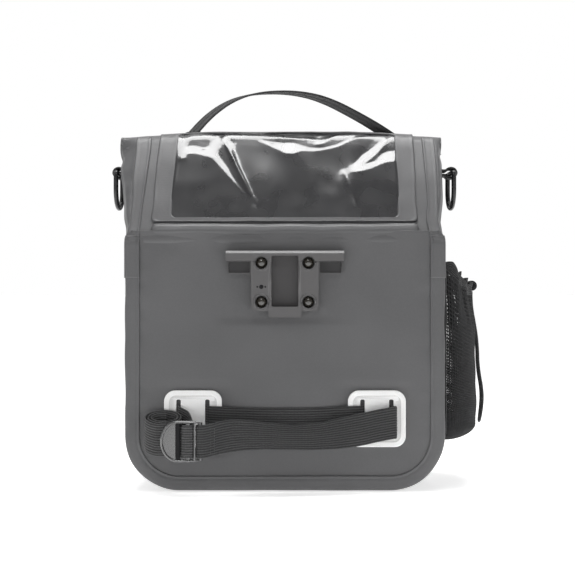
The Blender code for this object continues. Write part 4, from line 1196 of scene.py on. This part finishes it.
# The tab's webbing: X from the wall for its legs and from its outer end for its loop, and Z.
UPPER_LEG = [(1.6, 269), (1.3, 262), (1.7, 257.5), (2.8, 254.9)]
TAB_LOOP = [(-8.7, 254.5), (-6.8, 255.9), (-4.2, 256.5), (-1.4, 255.5), (0, 252.6), (-1.4, 249.7),
            (-4.2, 248.7), (-6.8, 249.3), (-8.7, 250.7)]
LOWER_LEG = [(2.8, 250.3), (1.5, 247), (0.9, 242.5), (0.3, 236)]


def make_rings():
    """Each ring hangs by its bar in a loop of webbing whose two legs are sewn to the wall."""
    for (side, sign), middle in zip(SIDES, (137, 136.8)):
        yaw = sign * RING_YAW
        path = [mm(sign * middle - sin(yaw) * y, cos(yaw) * y, RING_BAR_Z + z) for y, z in d_shape()]
        ring = round_curve(f"{side}_ring_wire", path, 2, RING, closed=True, resolution=6)
        piece(ring, f"{side}_ring", replaces=(f"{side}_d_ring",))
        reach = middle + 3.7
        wall = sleeve_x(252, sign)
        route = [(start + x, z) for start, points in ((wall, UPPER_LEG), (reach, TAB_LOOP), (wall, LOWER_LEG))
                 for x, z in points]
        path = smooth_path([mm(sign * x, 0, z) for x, z in route], 5)
        tab = webbing(f"{side}_tab_webbing", path, 20, 2, Vector((0, 1, 0)), DARK_STRAP, ribs=8)
        piece(tab, replaces=(f"{side}_ring_tab",))
        for z in (238, 268):
            row = [mm(sign * (sleeve_x(z, sign) + 2.1), y, z) for y in (-8.5, 8.5)]
            stitches(f"{side}_tab_seam_{z}", row, (sign, 0, 0))


make_handle()
make_rings()


# ---- mesh pocket

POCKET_X = 125.4
POCKET_HALF = 52.0
POCKET_LOW, POCKET_HIGH, POCKET_DIP = 42, 174.5, 22.0
POCKET_OUT = 30.6
STRAND = 1.55
LOCK_CENTRE = (153.6, 0, 160)


def pocket_point(u, v, inside=0):
    """The net's surface: u runs along the bag's side, v from its floor to its gathered mouth."""
    spread = sin(pi * u) ** 0.6
    rise = sin(min(v / 0.1, 1) * pi / 2) ** 0.4
    gather = 1 - 0.25 * max(0, (v - 0.5) / 0.5) ** 2
    high = POCKET_HIGH - POCKET_DIP * spread
    fold = smoothstep(0.45, 1, v) ** 2 * spread
    turn = 2 * pi * u
    ruffle = fold * (1.9 * sin(6 * turn + 1.2 * sin(5 * v)) + 0.8 * sin(15 * turn))
    slack = 0.9 * ripple(0, 110 * u, 120 * v, 22, 3.3) * spread * smoothstep(0, 0.2, v)
    x = POCKET_X + max((POCKET_OUT - inside) * spread * rise * gather + ruffle + slack, 0)
    low = POCKET_LOW + inside - 6 * spread
    return x, -(POCKET_HALF - inside) * cos(pi * u), low + v * (high - low)


def make_net():
    """Every cell of the net is real: a grid of the cloth's surface whose edges become strands."""
    columns, rows = 72, 68

    def point(u, v):
        return pocket_point(u, v ** 2, 0.4)
    net = grid_sheet("pocket_net", point, columns, rows, NET)
    modify(net, "WIREFRAME", thickness=STRAND * MM, use_even_offset=False, use_boundary=True)
    net.data.shade_smooth()
    piece(net, replaces=("mesh_pocket",))


FRILL_LEVELS = ((-1.2, 0.9), (0.8, 1.4), (2.8, 0.9), (4.4, 0.5), (6.4, 0.75), (8.6, 0.7))


def make_pocket_hem():
    """The mouth's hem, gathered into a frill over its elastic, and the binding down both sides."""
    steps = 220
    loops = []
    for i in range(steps + 1):
        u = i / steps
        x, y, z = pocket_point(u, 1, 0.4)
        spread = sin(pi * u) ** 0.6
        phase = 7.5 * u + 0.35 * sin(2 * pi * u)
        lobe = abs(sin(pi * phase)) ** 0.55
        curl = sin(2 * pi * phase)
        loop = []
        for half_sign in (1, -1):
            for level, half in (FRILL_LEVELS if half_sign > 0 else FRILL_LEVELS[::-1]):
                tall = max(level, 0) * (0.4 + 0.85 * lobe)
                sway = spread * (0.5 + 0.22 * max(level, 0)) * curl
                loop.append(mm(x + sway + half_sign * half, y + 0.12 * max(level, 0) * curl * spread,
                               z + min(level, 0) + tall))
        loops.append(loop)
    frill = ring_loft("pocket_frill", loops, BINDING)
    add_strap_uv(frill, len(loops[0]))
    piece(frill, replaces=("pocket_hem",))
    for name, sign in (("near_binding", -1), ("far_binding", 1)):
        edge = [mm(POCKET_X + 0.9, sign * (POCKET_HALF + 0.6), z) for z in (43, 75, 110, 145, 173)]
        band = webbing(name, smooth_path(edge, 6), 9, 1.3, Vector((0, 1, 0)), BINDING, ribs=5)
        piece(band)
        seam = [mm(POCKET_X + 1.6, sign * (POCKET_HALF + 3), z) for z in (45, 171)]
        stitches(name + "_seam", seam, (1, 0, 0))


def make_cord_lock():
    barrel = [(0, 6), (2.6, 6), (3.6, 5.7), (4.1, 5.1), (4.2, 4.2), (4.2, 1.6), (3.9, 1.3), (3.9, -1.3),
              (4.2, -1.6), (4.2, -5.2), (4, -5.7), (3.6, -6), (3, -6), (3, 3.6), (0, 3.6)]
    body = turned("cord_lock_barrel", LOCK_CENTRE, (0, 1, 0), barrel, LOCK, 40)
    piece(body, replaces=("cord_lock_body",))
    plunger = [(0, 0.8), (2.7, 0.8), (2.7, -8.6), (2.45, -9.2), (1.9, -9.5), (0.9, -9.65), (0, -9.7)]
    button = turned("cord_lock_plunger", LOCK_CENTRE, (0, 1, 0), plunger, LOCK, 36)
    piece(button, "lock_button", replaces=("cord_lock_button",))


make_net()
make_pocket_hem()
make_cord_lock()


# ---- closure flap

# Y and Z from the roll over the wedge's front edge and down the front.
FLAP_ROUTE = [(16.5, 280.5), (23, 272), (30, 262.3), (38, 251), (46, 239.4), (54, 227.6), (61, 216.8),
              (66, 207.4), (68.7, 198.6), (69.3, 190), (69.3, 175), (69.3, 160), (69.3, 145), (69.3, 131)]
FLAP_END = 131.0
FLAP_HALF = 123.5
FLAP_CORNER = 20.0


def flap_half_width(z):
    drop = max(0, FLAP_END + FLAP_CORNER - z)
    base = FLAP_HALF + wall_x(z) - HALF_WIDTH
    return base - FLAP_CORNER + sqrt(max(FLAP_CORNER ** 2 - drop ** 2, 0))


def make_flap():
    path = smooth_path([Vector((0, y, z)) for y, z in FLAP_ROUTE], 9)
    count = len(path) - 1

    def point(u, v):
        k = round(v * count)
        _, y, z = path[k]
        along = (path[min(k + 1, count)] - path[max(k - 1, 0)]).normalized()
        half = flap_half_width(z)
        x = (2 * u - 1) * half
        from_edge = min(half - abs(x), (z - FLAP_END) if z < FLAP_END + FLAP_CORNER else 99)
        lip = 0.45 * smoothstep(0, 1.2, from_edge) * smoothstep(9.6, 8.4, from_edge)
        lip -= 0.35 * exp(-((from_edge - 9.8) / 0.7) ** 2)
        wave = 0.5 * ripple(x, 0, z, 70, 4.4) + 0.3 * ripple(x, 0, z, 30, 7.7) * smoothstep(190, 150, z)
        lift = max(lip + 0.8 * wave * smoothstep(0, 0.12, v), -0.1) * (1 if z < 262 else 0.3)
        return x, y - along.z * lift, z + along.y * lift

    flap = grid_sheet("front_flap", point, 140, count, FABRIC)
    check_side(flap, (0, 1, 0.4))
    add_thickness(flap, 1.6)
    piece(flap, body=None, replaces=("closure_flap",))
    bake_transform(flap)


def make_tapes():
    """The two halves of the hook-and-loop closure."""
    for kind, face, body in (("loop", 65.3, "root"), ("hook", 66.8, "flap")):
        tape = prism(f"{kind}_strip", rounded_rectangle((0, 151.5), (90, 12.5), 2), face, face + 1.1, TAPE)
        piece(tape, body, replaces=(f"{kind}_tape",))


def finish_inner_nodes():
    """The stiff boards and hidden fixings are kept as modelled, with their own finishes."""
    for name in ("back_board", "base_board", "roll_stiffener", "mount_backing_plate"):
        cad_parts[name].data.materials[0] = BOARD
    for number in range(1, 5):
        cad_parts[f"mount_nut_{number}"].data.materials[0] = SCREW


make_flap()
make_tapes()
finish_inner_nodes()


# ---- floor and light

WORLD_FRONT, WORLD_BACK = 0.155, 0.9


def make_stage():
    bpy.ops.mesh.primitive_plane_add(size=60, location=(0, 0, -0.0006))
    floor = bpy.context.object
    floor.name = "floor"
    paper = Finish("paper", (0.86, 0.86, 0.86), 0.85, Emission_Color=(1, 1, 1, 1), Emission_Strength=0.6)
    paper.tint(paper.noise(3, 2), 0.99, 1.01)
    floor.data.materials.append(paper.mat)


def softbox(name, place, aim, size, strength):
    """A rectangular light of a given brightness, aimed at a point. Lengths are in metres."""
    data = bpy.data.lights.new(name, "AREA")
    data.shape = "RECTANGLE"
    data.size, data.size_y = size
    data.energy = strength * pi * size[0] * size[1]
    light = add_object(name, data)
    light.location = place
    light.rotation_euler = (aim - place).to_track_quat("-Z", "Y").to_euler()


def make_world():
    """White studio: a bright backdrop behind the bag, dimmer in front so that the film stays dark."""
    world = bpy.data.worlds.new("studio")
    bpy.context.scene.world = world
    world.use_nodes = True
    nodes, link = world.node_tree.nodes, world.node_tree.links.new
    background = nodes["Background"]
    background.inputs["Color"].default_value = (1, 1, 1, 1)
    split = nodes.new("ShaderNodeSeparateXYZ")
    link(nodes.new("ShaderNodeTexCoord").outputs["Generated"], split.inputs[0])
    depth = nodes.new("ShaderNodeMapRange")
    depth.interpolation_type = "SMOOTHSTEP"
    for index, value in ((1, -0.3), (2, 0.6), (3, WORLD_FRONT), (4, WORLD_BACK)):
        depth.inputs[index].default_value = value
    link(split.outputs["Y"], depth.inputs[0])
    mix = nodes.new("ShaderNodeMix")
    mix.inputs[3].default_value = 1.0
    link(nodes.new("ShaderNodeLightPath").outputs["Is Camera Ray"], mix.inputs[0])
    link(depth.outputs[0], mix.inputs[2])
    link(mix.outputs[0], background.inputs["Strength"])


def make_lights():
    bpy.context.scene.view_settings.view_transform = "Standard"
    for name, place, aim, size, strength in (
            ("top_softbox", (0, 0, 1.45), 0.2, (1, 0.58), 8.6),
            ("left_softbox", (-1.2, -0.9, 0.9), 0.15, (0.14, 0.8), 5),
            ("right_softbox", (1.2, -1, 0.8), 0.15, (0.12, 0.8), 4),
            ("front_softbox", (-0.1, -1.3, 1.35), 0.12, (0.36, 0.17), 15.5),
            ("low_softbox", (0.1, -1.25, 0.3), 0.05, (0.9, 0.16), 1.5)):
        softbox(name, Vector(place), Vector((0, 0, aim)), size, strength)


make_stage()
make_world()
make_lights()
